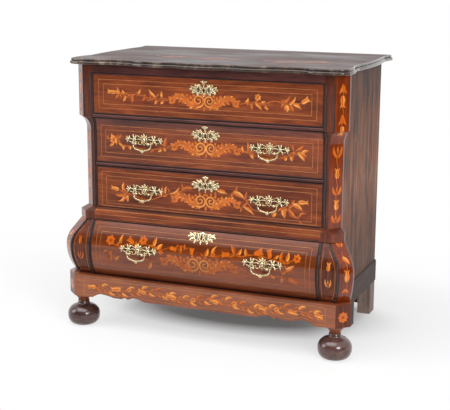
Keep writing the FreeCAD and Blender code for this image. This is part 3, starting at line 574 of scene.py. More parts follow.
def tube(pile, line, radii, steps):
    """A round bar along a line of points in space."""
    points = []
    for i, point in enumerate(line):
        ahead = (line[min(i + 1, len(line) - 1)] - line[max(i - 1, 0)]).normalized()
        across = ahead.cross(Vector((0, 1, 0))).normalized()
        other = across.cross(ahead)
        for cosine, sine in circle(steps):
            points.append(point + (across * cosine + other * sine) * (radii[i] * MM))
    pile.add(points, capped(len(line), steps), 0)


# Top board with its moulded edge

TOP_EDGE = (
    (5, 862), (1.8, 862.2), (0.5, 863.6), (0, 866), (0.3, 868.6), (1.4, 870.8), (3.2, 872),
    (5.2, 872.4), (5.4, 873.2), (4.4, 874), (4, 875.8), (4.4, 878), (5.6, 879.5), (8, 880))
NOSE_ROWS, GROOVE_ROWS = 7, 9
SAME_LEVEL = 0.0002
TOP_FACE, EDGE_FACE, GROOVE_FACE = range(3)


def top():
    """The top, drawn round the outline of the CAD board."""
    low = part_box("top_board")[0][2]
    seen = {}
    for v in NODES["top_board"].data.vertices:
        if abs(v.co.z - low) < SAME_LEVEL:
            seen[(round(v.co.x, 5), round(v.co.y, 5))] = True
    outline = sorted(seen, key=lambda p: math.atan2(p[1], p[0]))
    count = len(outline)
    normals = []
    for i in range(count):
        a, b, c = outline[i - 1], outline[i], outline[(i + 1) % count]
        first = Vector((b[1] - a[1], a[0] - b[0])).normalized()
        second = Vector((c[1] - b[1], b[0] - c[0])).normalized()
        total = first + second
        normals.append(total * (1 / max(0.5, (1 + first.dot(second)))))
    points = []
    for inset, z in TOP_EDGE:
        for (x, y), normal in zip(outline, normals):
            points.append(Vector((x - normal.x * inset * MM, y - normal.y * inset * MM, z * MM)))
    tints = []
    # The rows of the groove under the nose take the dark material: painted shade.
    for j in range(len(TOP_EDGE) - 1):
        tints.extend([GROOVE_FACE if NOSE_ROWS <= j < GROOVE_ROWS else EDGE_FACE] * count)
    pile = Pile()
    pile.add(points, capped(len(TOP_EDGE), count), tints + [EDGE_FACE, TOP_FACE])
    obj = pile.build("top_visual", "case", [TOP, EDGE, DARK], ["top_board"])
    for polygon in obj.data.polygons:
        if len(polygon.vertices) > 4:
            polygon.use_smooth = False


# Turned feet

FOOT_PROFILE = (
    (0, 30), (1, 34), (5, 42), (11, 47.6), (19, 51.4), (28, 52.9), (36, 53),
    (44, 51.6), (51, 48.4), (57, 43.5), (62, 37), (65.5, 30), (67.6, 23), (69, 20.4),
    (74, 18.8), (82, 18.4), (89, 19.4), (92.5, 21.6), (93.6, 24.6), (96, 26), (99.5, 26.4),
    (103, 26), (105, 24.5))
FOOT_NECK, FOOT_RADIUS, FOOT_STEPS = 82, 53, 56


def feet():
    low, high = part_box("front_feet")
    pile = Pile()
    reach = high[0] - FOOT_RADIUS * MM
    depth = (low[1] + high[1]) / 2
    bun = [row for row in FOOT_PROFILE if row[0] <= FOOT_NECK]
    neck = [row for row in FOOT_PROFILE if row[0] >= FOOT_NECK]
    for side in SIDES:
        centre = (side * reach, depth, 0)
        turned(pile, centre, (0, 0, 1), bun, FOOT_STEPS)
        turned(pile, centre, (0, 0, 1), neck, FOOT_STEPS, 1)
    pile.build("feet_visual", "case", [FOOT, PLINTH], ["front_feet"])


# Beads on the corner posts

OPENING = 382
PLINTH_TOP, NECK, WAIST, RECESS_TOP, FRIEZE = 178, 361, 398, 693, 834
# Dark lines beside the beads and along the arris: painted shade in the grooves.
SHADE_LINE_WIDTH, SHADE_LINE_HEIGHT = 1.2, 0.35


def post_of(side):
    return "left_corner_post" if side < 0 else "right_corner_post"


def arris(side, z):
    """Where the front face of a post meets its cant."""
    found = tree_of(post_of(side))
    low, high = OPENING + 2, OPENING + 110
    for _ in range(22):
        middle = (low + high) / 2
        hit = found.ray_cast(Vector((side * middle * MM, -1, z * MM)), Vector((0, 1, 0)))
        if hit[0] is not None and abs(hit[1].x) < CANT_LEAN:
            low = middle
        else:
            high = middle
    return low


def levels(low, high, step):
    count = max(2, int(round((high - low) / step)))
    return [between(low, high, i / count) for i in range(count + 1)]


def beads():
    pile = Pile()
    for side in SIDES:
        at = on_front(post_of(side))
        rows = levels(PLINTH_TOP + 0.5, NECK - 0.5, 5)
        upper = levels(RECESS_TOP + 3, FRIEZE, 8)
        inner = [(side * (OPENING + 5), z) for z in rows]
        outer = [(side * (arris(side, z) - 4.5), z) for z in rows]
        tall = [(side * (OPENING + 6), z) for z in levels(WAIST + 1, RECESS_TOP, 6)]
        block = [(side * (OPENING + 6), z) for z in upper]
        for line, width, height in (
                (inner, 1.8, 4), (outer, 1.7, 3.6), (tall, 2.2, 4), (block, 1.6, 1.4)):
            even_relief(pile, at, line, width, height)
            # A dark line each side of a bead: painted shade.
            for edge in SIDES:
                beside = [(x + edge * (width + 0.9), z) for x, z in line]
                even_relief(pile, at, beside, SHADE_LINE_WIDTH, SHADE_LINE_HEIGHT, 1)
        # A dark line along the arris of the upper block: painted shade.
        corner = [(side * (arris(side, z) - 3), z) for z in upper]
        even_relief(pile, at, corner, 1.8, SHADE_LINE_HEIGHT, 1)
    pile.build("beads_visual", "case", [BEAD, DARK], ["corner_beads"])


# Brasses

def handle_plate(pile, at):
    """A pierced plate: a boss between two pairs of leafy clusters, joined by scrolls."""
    dome_relief(pile, at, 0, 0, 6.4, 8.4, 4.8)
    ring_relief(pile, at, 0, 0, 9, 11, 1.6, 2.6)
    leaf_relief(pile, at, (0, 10), (0, 20.5), 3.4, 3)
    leaf_relief(pile, at, (0, -10), (0, -15), 2.6, 2.4)
    for s in SIDES:
        # A flat dark pad under each side cluster: painted shadow.
        dome_relief(pile, at, s * 38, 2, 22, 11, 0.4, 1)
        leaf_relief(pile, at, (s * 3, 11), (s * 9, 16), 2.6, 2.6, -0.15 * s)
        for points, start, end in (
                (((9, 2), (18, 4), (28, 2)), 1.7, 1.7), (((7, 8), (15, 10), (23, 14), (28, 14)), 1.7, 1.2),
                (((6, -9), (14, -13), (23, -11), (31, -3)), 1.7, 1.5),
                (((37, 1), (46, 4), (55, 1)), 2, 1.5), (((37, -4), (44, -7), (52, -4)), 1.6, 1.3)):
            strip_relief(pile, at, [(s * x, z) for x, z in points], start, end, 2.2)
        dome_relief(pile, at, s * 34, 1, 5.4, 6, 3.8)
        for x0, z0, x1, z1, width, bend in (
                (33, 5, 29, 15, 3.2, 0.12), (36, 5, 38, 16, 3.2, 0), (34, -3, 42, -11, 3.2, 0.15),
                (33, -3, 27, -12, 3, -0.12), (53, 2, 60, 10, 3.4, -0.18), (52, 2, 52, 11, 2.8, 0.1),
                (53, 0, 59, -7, 3.2, 0.15), (55, 1, 64, 2, 2.8, 0)):
            leaf_relief(pile, at, (s * x0, z0), (s * x1, z1), width, 3, bend * s)


def escutcheon(pile, at, top):
    """A pierced keyhole plate: two hollow shields and their leaves beside the keyhole, under a crown."""
    ring_relief(pile, at, 0, -1.5, 5.8, 8.6, 1.9, 2.8)
    tall = min(31, top - 4)
    leaf_relief(pile, at, (0, 7), (0, tall - 8), 3.4, 3)
    dome_relief(pile, at, 0, tall - 6.5, 6.4, 6.5, 3.6)
    leaf_relief(pile, at, (0, -10), (0, -20), 3.2, 2.8)
    for s in SIDES:
        leaf_relief(pile, at, (s * 3, tall - 9), (s * 8.5, tall - 4.5), 3.6, 3, 0.1 * s)
        # A flat dark pad under each shield and its leaves: painted shadow.
        dome_relief(pile, at, s * 19, 0, 17, 11, 0.4, 1)
        ring_relief(pile, at, s * 17, 0, 6.6, 9.6, 2.2, 3.2)
        dome_relief(pile, at, s * 17, 0, 4.2, 7.2, 2, 3)
        for points in (((5, 5), (8, 9), (12, 8)), ((4, -8), (9, -11), (15, -8))):
            strip_relief(pile, at, [(s * x, z) for x, z in points], 1.8, 1.8, 2.4)
        for x0, z0, x1, z1, width, bend in (
                (15, 8, 17, 16, 5, 0.1), (22, 6, 28, 15, 5.2, 0.1), (26, 3, 40, 9, 5.6, -0.12),
                (27, 0, 44, 1, 5.4, 0.1), (24, -6, 37, -9, 5.2, 0.14), (16, -8, 21, -16, 4.8, 0.1)):
            tip = (s * x1, min(z1, tall - 7))
            leaf_relief(pile, at, (s * x0, z0), tip, width, 3, bend * s)


DRAWERS = {1: (704, 835), 2: (546, 693), 3: (398, 535), 4: (178, 361)}
KEY_Z = {1: 797, 2: 655, 3: 497, 4: 339}
HANDLE_X, POST_X, PLATE_ABOVE_AXIS, DRAWER_GAP = 210, 22, 8, 1.8
JOINTS = {joint["name"]: joint for joint in frame["joints"]}


def moved(at, x, z):
    return lambda across, up, proud: at(x + across, z + up, proud)


def brasses(number):
    drawer = "drawer_%d" % number
    at = on_front(drawer + "_front")
    pile = Pile()
    key_z = KEY_Z[number]
    room = DRAWERS[number][1] - DRAWER_GAP - key_z
    escutcheon(pile, moved(at, 0, key_z), room)
    keyhole(pile, moved(at, 0, key_z))
    if number > 1:
        for side, x in (("left", -HANDLE_X), ("right", HANDLE_X)):
            axis = Vector(JOINTS["%s_%s_bail_swing" % (drawer, side)]["pos_m"])
            z = axis.z / MM
            handle_plate(pile, moved(at, x, z + PLATE_ABOVE_AXIS))
            for s in SIDES:
                handle_post(pile, at(x + s * POST_X, z, 0), axis.y)
            bail(drawer, side, axis)
    pile.build(drawer + "_brasses_visual", drawer, [BRASS, BRASS_SHADOW_PADS, DARK, SHIELD],
               [drawer + "_brasses"])


def keyhole(pile, at):
    """A keyhole in painted shade: a dark sheet, most of a circle over a slot."""
    outline = [(0, 0)]
    for i in range(17):
        turn = radians(-60 + 300 * i / 16)
        outline.append((3 * cos(turn), 3 * sin(turn)))
    outline += [(-1.7, -8.5), (1.7, -8.5)]
    pile.add([at(x, z, 0.5) for x, z in outline], fan(len(outline) - 1), 2)


def handle_post(pile, foot, axis_y):
    reach = (foot.y - axis_y) / MM
    profile = (
        (0, 5), (1.6, 5), (2.4, 4.2), (4, 3.4), (reach - 6.4, 3.2), (reach - 5, 4.2),
        (reach - 3, 5.1), (reach, 5), (reach + 2.6, 4.4), (reach + 4.4, 3.2), (reach + 5.2, 1.4))
    turned(pile, foot, (0, -1, 0), profile, 16)


BAIL_LINE = (
    (30.3, 2.4), (30.4, -5.5), (29, -11.5), (25.6, -15.8), (20.6, -18.4), (15, -19.8), (10, -21),
    (6, -22.8), (0, -24.6))
BAIL_RADII = (1.9, 2.1, 2.5, 2.8, 2.8, 2.5, 2.2, 2.2, 2.6)


def bail(drawer, side, axis):
    pile = Pile()
    half = curve([(x, z, r) for (x, z), r in zip(BAIL_LINE, BAIL_RADII)], 4)
    full = half + [(-x, z, r) for x, z, r in half[-2::-1]]
    tube(pile, [axis + Vector((x * MM, 0, z * MM)) for x, z, r in full], [r for x, z, r in full], 12)
    for s in SIDES:
        pin = axis + Vector((s * 19.4 * MM, 0, 0))
        turned(pile, pin, (s, 0, 0), ((0, 1.7), (10.4, 1.7), (13, 2.2)), 12)
        collar = axis + Vector((s * 9 * MM, 0, -21.4 * MM))
        turned(pile, collar, (s, 0, 0.33), ((-1.4, 2.3), (-0.6, 3.2), (0.6, 3.2), (1.4, 2.3)), 14)
    knop = axis + Vector((0, 3 * MM, -24.6 * MM))
    turned(pile, knop, (0, -1, 0), (
        (0, 4.4), (0.8, 5.8), (2.4, 6), (3.8, 5.4), (4.4, 4.2), (4.2, 3.4), (5.2, 2.6), (6, 1.2)), 18)
    name = "%s_%s_bail" % (drawer, side)
    pile.build(name + "_visual", name, [BRASS], [name])


top()
feet()
beads()
for number in DRAWERS:
    brasses(number)


# Marquetry: flat veneers let into the polished fronts

def flat_strip(pile, at, line, halves, tints, layer):
    """A flat veneer along a line, with its own colour on each side."""
    lift = pile.lift(layer)
    points = []
    for i, (x, z) in enumerate(line):
        sx, sz = sideways(line, i)
        for reach in (halves[i], 0, -halves[i]):
            points.append(at(x + sx * reach, z + sz * reach, lift))
    pile.add(points, quads(len(line), 3, False), list(tints) * (len(line) - 1))


def ribbon(pile, at, line, width, tint, layer=0):
    flat_strip(pile, at, line, [width / 2] * len(line), (tint, tint), layer)


def stem(pile, at, points, width, tint=SHADE):
    ribbon(pile, at, curve(points, 6), width, tint)


def leaf(pile, at, base, tip, width, bend=0, tints=(MID, SHADE), layer=1):
    """A pointed leaf, scorched dark at its base and lighter on one side of its rib."""
    steps = max(6, int(hypot(tip[0] - base[0], tip[1] - base[1]) / 4))
    line = bent(base, tip, bend, steps)
    half = [width * max(sin(pi * (i / steps) ** 0.85), 0.03) for i in range(steps + 1)]
    dark = max(1, int(steps * 0.16))
    flat_strip(pile, at, line[:dark + 1], half[:dark + 1], (SHADE, SHADE), layer)
    flat_strip(pile, at, line[dark:], half[dark:], tints, layer)


def acanthus(pile, at, line, wide, narrow, lobe):
    """A leafy band: a tapering ribbon, fringed with lobes that lean along it."""
    last = len(line) - 1
    half = [between(wide, narrow, i / last) / 2 for i in range(last + 1)]
    for i in range(1, last, 2):
        x, z = line[i]
        sx, sz = sideways(line, i)
        reach = lobe * (1 - 0.35 * i / last)
        for side in SIDES:
            tip = (x + (sz * 0.7 + side * sx * 0.8) * reach, z + (-sx * 0.7 + side * sz * 0.8) * reach)
            tints = (MID, SHADE) if i % 4 == 1 else (LIGHT, MID)
            leaf(pile, at, (x, z), tip, reach * 0.42, 0.2 * side, tints, i % 2)
    flat_strip(pile, at, line, half, (MID, MID), 2)
    ribbon(pile, at, line, 1.1, SHADE, 3)


DISC_STEPS = 10


def disc(pile, at, x, z, radius, tint):
    lift = pile.lift(3)
    ring = [at(x + radius * cosine, z + radius * sine, lift) for cosine, sine in circle(DISC_STEPS)]
    pile.add([at(x, z, lift)] + ring, fan(DISC_STEPS), tint)


def flower(pile, at, x, z, radius, petals=6, turn=0, tints=(LIGHT, MID)):
    for i in range(petals):
        angle = turn + 2 * pi * i / petals
        tip = (x + radius * cos(angle), z + radius * sin(angle))
        leaf(pile, at, (x, z), tip, radius * 0.42, 0, tints, 2)
    disc(pile, at, x, z, radius * 0.26, SHADE)


def tulip(pile, at, base, tip, width, tints=(LIGHT, MID)):
    """A cup of three petals that opens towards the tip."""
    dx, dz = tip[0] - base[0], tip[1] - base[1]
    size = hypot(dx, dz)
    ax, az = -dz / size * width, dx / size * width
    for s in SIDES:
        end = (tip[0] + ax * 0.8 * s, tip[1] + az * 0.8 * s)
        leaf(pile, at, base, end, width * 0.5, -0.16 * s, tints)
    leaf(pile, at, base, tip, width * 0.5, 0, tints[::-1], 2)


ARABESQUE_STEM = ((22, -15), (38, -14), (52, -7), (63, 3), (75, 10), (88, 11), (99, 5), (104, -4))
ARABESQUE_LEAVES = (
    ((8, 14), (2, 25), 4, 0.1), ((18, 16), (20, 27), 4, 0), ((28, 12), (36, 20), 4.4, -0.1),
    ((108, 2), (121, 6), 4, 0.1), ((106, -8), (118, -11), 3.6, -0.1), ((24, -18), (18, -28), 3.6, 0.1),
    ((38, -4), (36, 9), 5, 0.2), ((48, 2), (45, 16), 5, 0.2), ((58, 8), (57, 20), 5, 0.2),
    ((60, -6), (72, -12), 5, 0.2), ((72, -2), (84, -9), 4.6, 0.2))


def spiral(x, z, start, end, first, last, hand):
    """Points of a scroll that winds in about a point."""
    steps = max(10, int(abs(last - first) / 18))
    line = []
    for i in range(steps + 1):
        angle = radians(between(first, last, i / steps))
        radius = between(start, end, i / steps)
        line.append((x + hand * radius * cos(angle), z + radius * sin(angle)))
    return line


def arabesque(pile, at, z, size):
    """Paired acanthus scrolls about the middle of a drawer."""
    for s in SIDES:
        def spot(point):
            return (s * point[0] * size, z + point[1] * size)
        line = curve([spot(p) for p in ARABESQUE_STEM], 3)
        acanthus(pile, at, line, 15 * size, 9 * size, 13.5 * size)
        inner = spiral(s * 18 * size, z, 20 * size, 2.5 * size, -50, -680, s)
        half = [between(3.8, 1.6, i / len(inner)) * size for i in range(len(inner))]
        flat_strip(pile, at, inner, half, (MID, LIGHT), 2)
        for base, tip, width, bend in ARABESQUE_LEAVES:
            leaf(pile, at, spot(base), spot(tip), width * size, bend * s, (MID, MID))
        flower(pile, at, s * 105 * size, z - 3 * size, 13 * size, 7, 0.2, (MID, MID))
    leaf(pile, at, (0, z - 15 * size), (0, z - 33 * size), 5 * size)


def border(pile, at, left, right, low, high, width=1.3, tint=LINE):
    """Stringing round a panel."""
    across = levels(left, right, 12)
    upward = levels(low, high, 5)
    for z in (low, high):
        ribbon(pile, at, [(x, z) for x in across], width, tint)
    for x in (left, right):
        ribbon(pile, at, [(x, z) for z in upward], width, tint)


STEMS = {
    1: (((-318, 777), (-293, 774), (-264, 772), (-233, 772), (-202, 769), (-174, 763), (-140, 757),
         (-118, 762)), ((118, 760), (140, 765), (165, 768), (190, 766), (206, 757)),
        ((204, 768), (230, 776), (250, 771), (262, 766), (288, 768), (314, 774))),
    2: (((-306, 620), (-285, 608), (-262, 605), (-225, 600), (-180, 600), (-134, 609), (-117, 617)),
        ((117, 614), (141, 610), (170, 602), (215, 599), (262, 607), (285, 624), (314, 622))),
    3: (((-302, 461), (-285, 455), (-262, 450), (-200, 436), (-150, 452), (-122, 462), (-82, 473)),
        ((88, 484), (118, 472), (134, 464), (160, 436), (210, 430), (240, 440), (270, 458), (302, 470))),
    4: (((-310, 304), (-285, 288), (-250, 296), (-215, 304), (-170, 300), (-140, 288), (-100, 300),
         (-60, 296)),
        ((20, 290), (50, 288), (103, 300), (140, 296), (180, 306), (234, 300), (272, 292), (319, 306)),
        ((140, 262), (190, 240), (240, 246), (277, 248), (296, 246))),
}
LEAVES = {
    1: ((-284, 774, -295, 793, 3.4, 0.1), (-287, 772, -302, 755, 3.8, -0.1), (-267, 772, -278, 785, 3.2, 0.1),
        (-268, 770, -275, 748, 3.8, 0.1), (-247, 770, -243, 745, 5.8, 0), (-158, 766, -186, 793, 4.2, 0.12),
        (-140, 762, -142, 788, 3.8, 0), (-196, 768, -207, 753, 3.8, -0.1), (-158, 759, -166, 745, 3.8, 0.1),
        (-136, 757, -146, 747, 3.8, 0), (-178, 764, -192, 757, 3.2, 0.1), (-222, 772, -212, 789, 3.4, 0.1),
        (138, 765, 146, 781, 4.2, -0.1), (148, 765, 157, 744, 4.2, 0.1), (164, 768, 188, 746, 4.4, 0.12),
        (188, 766, 200, 773, 4.2, 0), (258, 768, 278, 795, 4.6, -0.1), (270, 767, 294, 792, 4, -0.14),
        (260, 766, 269, 744, 6.8, 0.1), (273, 766, 287, 747, 4.6, 0.1), (283, 768, 312, 754, 4.8, 0.2)),
    2: ((-308, 630, -326, 643, 4.4, 0.2), (-303, 626, -291, 643, 4.4, -0.2), (-302, 614, -289, 600, 4, 0.2),
        (-320, 612, -333, 603, 4, 0.1), (-334, 624, -341, 636, 3.4, 0.1), (-282, 606, -283, 591, 4.4, 0),
        (-262, 606, -258, 593, 4.4, 0), (-134, 610, -131, 643, 5.6, 0.1), (-138, 608, -137, 595, 4.2, 0),
        (-150, 605, -163, 594, 4, 0.1), (141, 611, 138, 647, 4.8, -0.1), (150, 608, 159, 594, 4.4, 0),
        (128, 612, 122, 632, 3.4, 0.1), (289, 626, 320, 648, 4.4, -0.1), (296, 627, 321, 598, 6.2, 0.1),
        (312, 622, 334, 631, 3.8, 0.1), (312, 621, 330, 613, 3.6, -0.1), (280, 612, 282, 595, 4.6, 0),
        (262, 607, 260, 595, 4.6, 0), (-180, 600, -190, 590, 3.6, 0)),
    3: ((-284, 456, -283, 487, 4.2, 0.1), (-276, 454, -317, 444, 6.2, 0.1), (-284, 446, -306, 424, 4, 0.3),
        (-278, 446, -271, 423, 4.8, 0.1), (-149, 452, -147, 486, 4.8, 0), (-137, 458, -134, 486, 3.4, 0.1),
        (-126, 462, -89, 487, 3.8, -0.2), (-82, 473, -40, 485, 6.2, 0.1), (36, 485, 73, 478, 5.4, 0.1),
        (90, 485, 131, 466, 6.2, 0.1), (134, 464, 138, 492, 3.6, 0), (122, 444, 162, 419, 4.4, 0.1),
        (282, 464, 318, 446, 6.2, 0.1), (272, 450, 303, 420, 6.4, -0.1), (254, 448, 263, 418, 6.4, 0),
        (228, 436, 224, 418, 7, 0), (308, 420, 332, 437, 3.6, 0.3), (-215, 437, -232, 424, 4, 0.1)),
    4: ((-272, 292, -268, 325, 4.6, 0.1), (-280, 284, -272, 306, 4.8, 0.1), (-158, 296, -151, 327, 5.2, 0),
        (-141, 286, -125, 309, 5.8, 0.1), (-68, 308, -65, 284, 5.4, 0.1), (18, 284, 28, 311, 5.4, -0.1),
        (51, 288, 57, 319, 4.4, 0.25), (119, 298, 101, 327, 5.6, -0.1), (131, 298, 138, 320, 4.2, 0),
        (160, 300, 151, 322, 4.4, 0.1), (272, 292, 272, 325, 5.4, 0.1), (284, 294, 289, 324, 5.2, -0.1),
        (284, 272, 312, 288, 5.4, -0.1), (276, 250, 303, 272, 4.6, 0.1), (278, 246, 271, 227, 4.6, 0),
        (256, 244, 238, 251, 4.2, 0.1), (-315, 268, -313, 233, 7, 0.1), (-295, 239, -276, 255, 4.6, 0.1),
        (-170, 250, -179, 223, 5, 0.2), (-44, 300, -52, 316, 4, 0.1), (250, 300, 262, 312, 3.6, 0.1),
        (-215, 304, -222, 288, 4.2, 0), (200, 304, 214, 290, 4.2, 0)),
}
FLOWERS = {
    1: ((176, 784, 9.5),),
    2: ((-317, 622, 12.5),),
    3: (),
    4: ((-310, 304, 15), (-195, 313, 13.5), (-130, 283, 7), (47, 293, 8), (319, 308, 12)),
}
TULIPS = {
    1: ((-298, 776, -330, 778, 9), (-282, 775, -312, 780, 3.6), (196, 759, 209, 748, 5),
        (310, 772, 337, 788, 11)),
    2: ((305, 622, 322, 622, 4),),
    3: ((-298, 461, -331, 467, 9), (300, 470, 337, 473, 8)),
    4: ((-224, 298, -249, 316, 11), (-104, 301, -76, 296, 9), (-25, 282, -25, 307, 10),
        (106, 300, 75, 297, 11), (178, 307, 208, 319, 13), (235, 298, 226, 327, 10),
        (290, 248, 324, 231, 10)),
}
ARABESQUES = {1: (764, 1), 2: (616, 1), 3: (449, 1), 4: (257, 1.12)}
STRINGS = {
    1: ((20, 20, 20), (36, 34, 34)),
    2: ((18, 26, 20), (34, 40, 34)),
    3: ((18, 18, 7), (34, 32, 16)),
    4: ((20, 20, 26), (34, 34, 42)),
}
DRAWER_HALF = 380.5
LEAF_FULLNESS, BLOOM_FULLNESS = 1.2, 1.15
EDGE_LINE_WIDTH, EDGE_LINE_X, EDGE_LINE_Z = 2.8, 1.3, 1.5
COMPANION_TURN = radians(75)


def drawer_marquetry(number):
    drawer = "drawer_%d" % number
    at = on_front(drawer + "_front")
    low, high = DRAWERS[number]
    pile = Pile()
    for side, above, below in STRINGS[number]:
        border(pile, at, -DRAWER_HALF + side, DRAWER_HALF - side, low + below, high - above)
    corner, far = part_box(drawer + "_front")
    half = DRAWER_HALF - EDGE_LINE_X
    bottom, top_edge = corner[2] / MM + EDGE_LINE_Z, far[2] / MM - EDGE_LINE_Z
    # A dark line round the edges of each front: painted shadow of the gap round the drawer.
    border(pile, at, -half, half, bottom, top_edge, EDGE_LINE_WIDTH, GAP_SHADOW)
    for points in STEMS[number]:
        stem(pile, at, points, 2, MID)
    arabesque(pile, at, *ARABESQUES[number])
    for index, (x0, z0, x1, z1, width, bend) in enumerate(LEAVES[number]):
        tints = ((LIGHT, MID), (MID, SHADE), (MID, LIGHT))[index % 3]
        leaf(pile, at, (x0, z0), (x1, z1), width * LEAF_FULLNESS, bend, tints)
        for way, share in ((1, 0.6), (-1, 0.45)):
            turn = way * (COMPANION_TURN if index % 2 else -COMPANION_TURN)
            dx, dz = (x1 - x0) * share, (z1 - z0) * share
            cosine, sine = cos(turn), sin(turn)
            tip = (x0 + dx * cosine - dz * sine, z0 + dx * sine + dz * cosine)
            leaf(pile, at, (x0, z0), tip, width * 0.75, -bend * way, (SHADE, MID), 0)
    bloom = (VIVID, MID) if number == 4 else (LIGHT, MID)
    for x, z, radius in FLOWERS[number]:
        flower(pile, at, x, z, radius * BLOOM_FULLNESS, 6, 0.3, bloom)
    for x0, z0, x1, z1, width in TULIPS[number]:
        tulip(pile, at, (x0, z0), (x1, z1), width * BLOOM_FULLNESS, bloom)
    pile.build(drawer + "_marquetry", drawer, BOMBE_INLAYS if number == 4 else INLAYS)


def sprig(pile, at, base, rise, spread, tints):
    """A stalk with two leaves that part from it."""
    stem(pile, at, ((0, base), (0, base + rise * 0.6)), 1.4)
    for s in SIDES:
        leaf(pile, at, (0, base + rise * 0.1), (s * spread, base + rise), spread * 0.36, -0.12 * s, tints)
    leaf(pile, at, (0, base + rise * 0.4), (0, base + rise * 0.95), spread * 0.22, 0, tints)


CANT_SPRIGS = (
    (838, -32, 14), (752, -38, 14), (606, 44, 13), (494, 34, 13), (410, 30, 14), (344, 20, 10),
    (232, -18, 12))
CANT_TULIPS = ((804, 764), (714, 680), (546, 582), (450, 486), (246, 288))
CANT_STEMS = ((700, 836), (414, 640), (234, 336))
TULIP_WIDTH = 12
PANEL_LOW, PANEL_HIGH, PANEL_MARGIN, PANEL_LINE = 192, 338, 14, 1.1


def post_marquetry():
    pile = Pile()
    for side in SIDES:
        node = post_of(side)
        front = on_front(node)
        middle = Vector((side * 434 * MM, front(side * (OPENING + 18), 780, 0).y + 16 * MM, 0))
        cant = on_cant(node, side, middle)
        for base, rise, spread in CANT_SPRIGS:
            sprig(pile, cant, base, rise, spread, (VIVID, MID))
        for base, tip in CANT_TULIPS:
            tulip(pile, cant, (0, base), (0, tip), TULIP_WIDTH, (VIVID, LIGHT))
        leaf(pile, cant, (-side * 10, 322), (side * 12, 302), 6.5, 0.1, (LIGHT, VIVID))
        for low, high in CANT_STEMS:
            ribbon(pile, cant, [(2.5 * sin(z / 9), z) for z in levels(low, high, 4)], 1.8, MID)
        rows = levels(PANEL_LOW, PANEL_HIGH, 5)
        inner = OPENING + 15
        outer = [(side * max(inner, arris(side, z) - PANEL_MARGIN), z) for z in rows]
        across = levels(inner, arris(side, PANEL_LOW) - PANEL_MARGIN, 6)
        for line in ([(side * inner, z) for z in rows], outer, [(side * x, PANEL_LOW) for x in across]):
            ribbon(pile, front, line, PANEL_LINE, LINE)
        tear = moved(front, side * (OPENING + 37), 0)
        # On the left the tulip and sprig take dimmer veneers than on the right: painted light, for the reflections
        # that hide them there.
        tints = (SHADE, MID) if side < 0 else (LIGHT, MID)
        tulip(pile, tear, (0, 279), (0, 308), 9, tints)
        sprig(pile, tear, 226, 32, 8, tints)
        stem(pile, tear, ((0, 279), (0, 250)), 1.4)
    pile.build("post_marquetry", "case", INLAYS)


PLINTH_BUDS = (
    (-270, 146, -312, 140, 12), (-74, 136, -116, 145, 13), (70, 139, 34, 147, 10),
    (292, 142, 324, 138, 11), (-362, 143, -396, 139, 11), (374, 143, 408, 135, 12),
    (196, 146, 226, 136, 11), (-180, 141, -214, 148, 11))
PLINTH_FLOWERS = ((-20, 139, 9), (118, 144, 10), (258, 143, 9), (-246, 144, 8))
PLINTH_LEFT, PLINTH_RIGHT, PLINTH_LINE_Z, APRON_MARGIN = -409, 413, 167, 7.5


def apron(x):
    """Height of a line along the lower edge of the plinth board."""
    z = 100
    while z < 150:
        hit = tree_of("front_plinth").ray_cast(Vector((x * MM, -1, z * MM)), Vector((0, 1, 0)))
        if hit[0] is not None:
            break
        z += 0.5
    return z + APRON_MARGIN


def vine(x):
    """Height of the wavy stem on the plinth."""
    return 142 + 7 * sin(x / 38)


def plinth_marquetry():
    pile = Pile()
    at = on_front("front_plinth")
    stem(pile, at, [(x, vine(x)) for x in range(-390, 401, 10)], 1.8, MID)
    for i, x in enumerate(range(-368, 390, 24)):
        z = vine(x)
        way = 1 if i % 2 else -1
        tints = (MID, SHADE) if i % 3 == 0 else (LIGHT, MID)
        leaf(pile, at, (x, z), (x + 26, z + way * 13), 5.2, 0.22 * way, tints)
        leaf(pile, at, (x + 8, z), (x + 26, z - way * 9), 3.8, -0.25 * way, (SHADE, MID), 0)
    for x0, z0, x1, z1, width in PLINTH_BUDS:
        tulip(pile, at, (x0, z0), (x1, z1), width)
    for x, z, radius in PLINTH_FLOWERS:
        flower(pile, at, x, z, radius)
    across = levels(PLINTH_LEFT, PLINTH_RIGHT, 8)
    ribbon(pile, at, [(x, PLINTH_LINE_Z) for x in across], 1.4, LINE)
    ribbon(pile, at, [(x, apron(x)) for x in across], 1.3, LINE)
    for x in (PLINTH_LEFT, PLINTH_RIGHT):
        ribbon(pile, at, [(x, z) for z in levels(apron(x), PLINTH_LINE_Z, 6)], 1.3, LINE)
    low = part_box("plinth_corner_blocks")[0]
    for side in SIDES:
        middle = Vector((side * 463 * MM, low[1] + 18 * MM, 0))
        flower(pile, on_cant("plinth_corner_blocks", side, middle), 0, 138, 18, 8, 0, (VIVID, MID))
    pile.build("plinth_marquetry", "case", INLAYS)


# The dark lines along the top and bottom of the waist rail are painted shadow in the gaps; the others are
# stringing.
WAIST_LINES = ((395.5, 2, GAP_SHADOW), (391.5, 1.2, LINE), (379, 1.2, LINE), (364, 2.4, GAP_SHADOW))


def waist_marquetry():
    pile = Pile()
    at = on_front("waist_rail")
    for z, width, tint in WAIST_LINES:
        ribbon(pile, at, [(x, z) for x in levels(-DRAWER_HALF, DRAWER_HALF, 12)], width, tint)
    pile.build("waist_marquetry", "case", INLAYS)


FADED = (((112, 70, 54), (136, 82, 58)), ((104, 64, 50), (126, 76, 54)), ((90, 58, 50), (104, 66, 54)))
TOP_SPRAYS = ((-165, -85, 46), (-25, -95, 52), (215, -105, 46), (305, -75, 50))


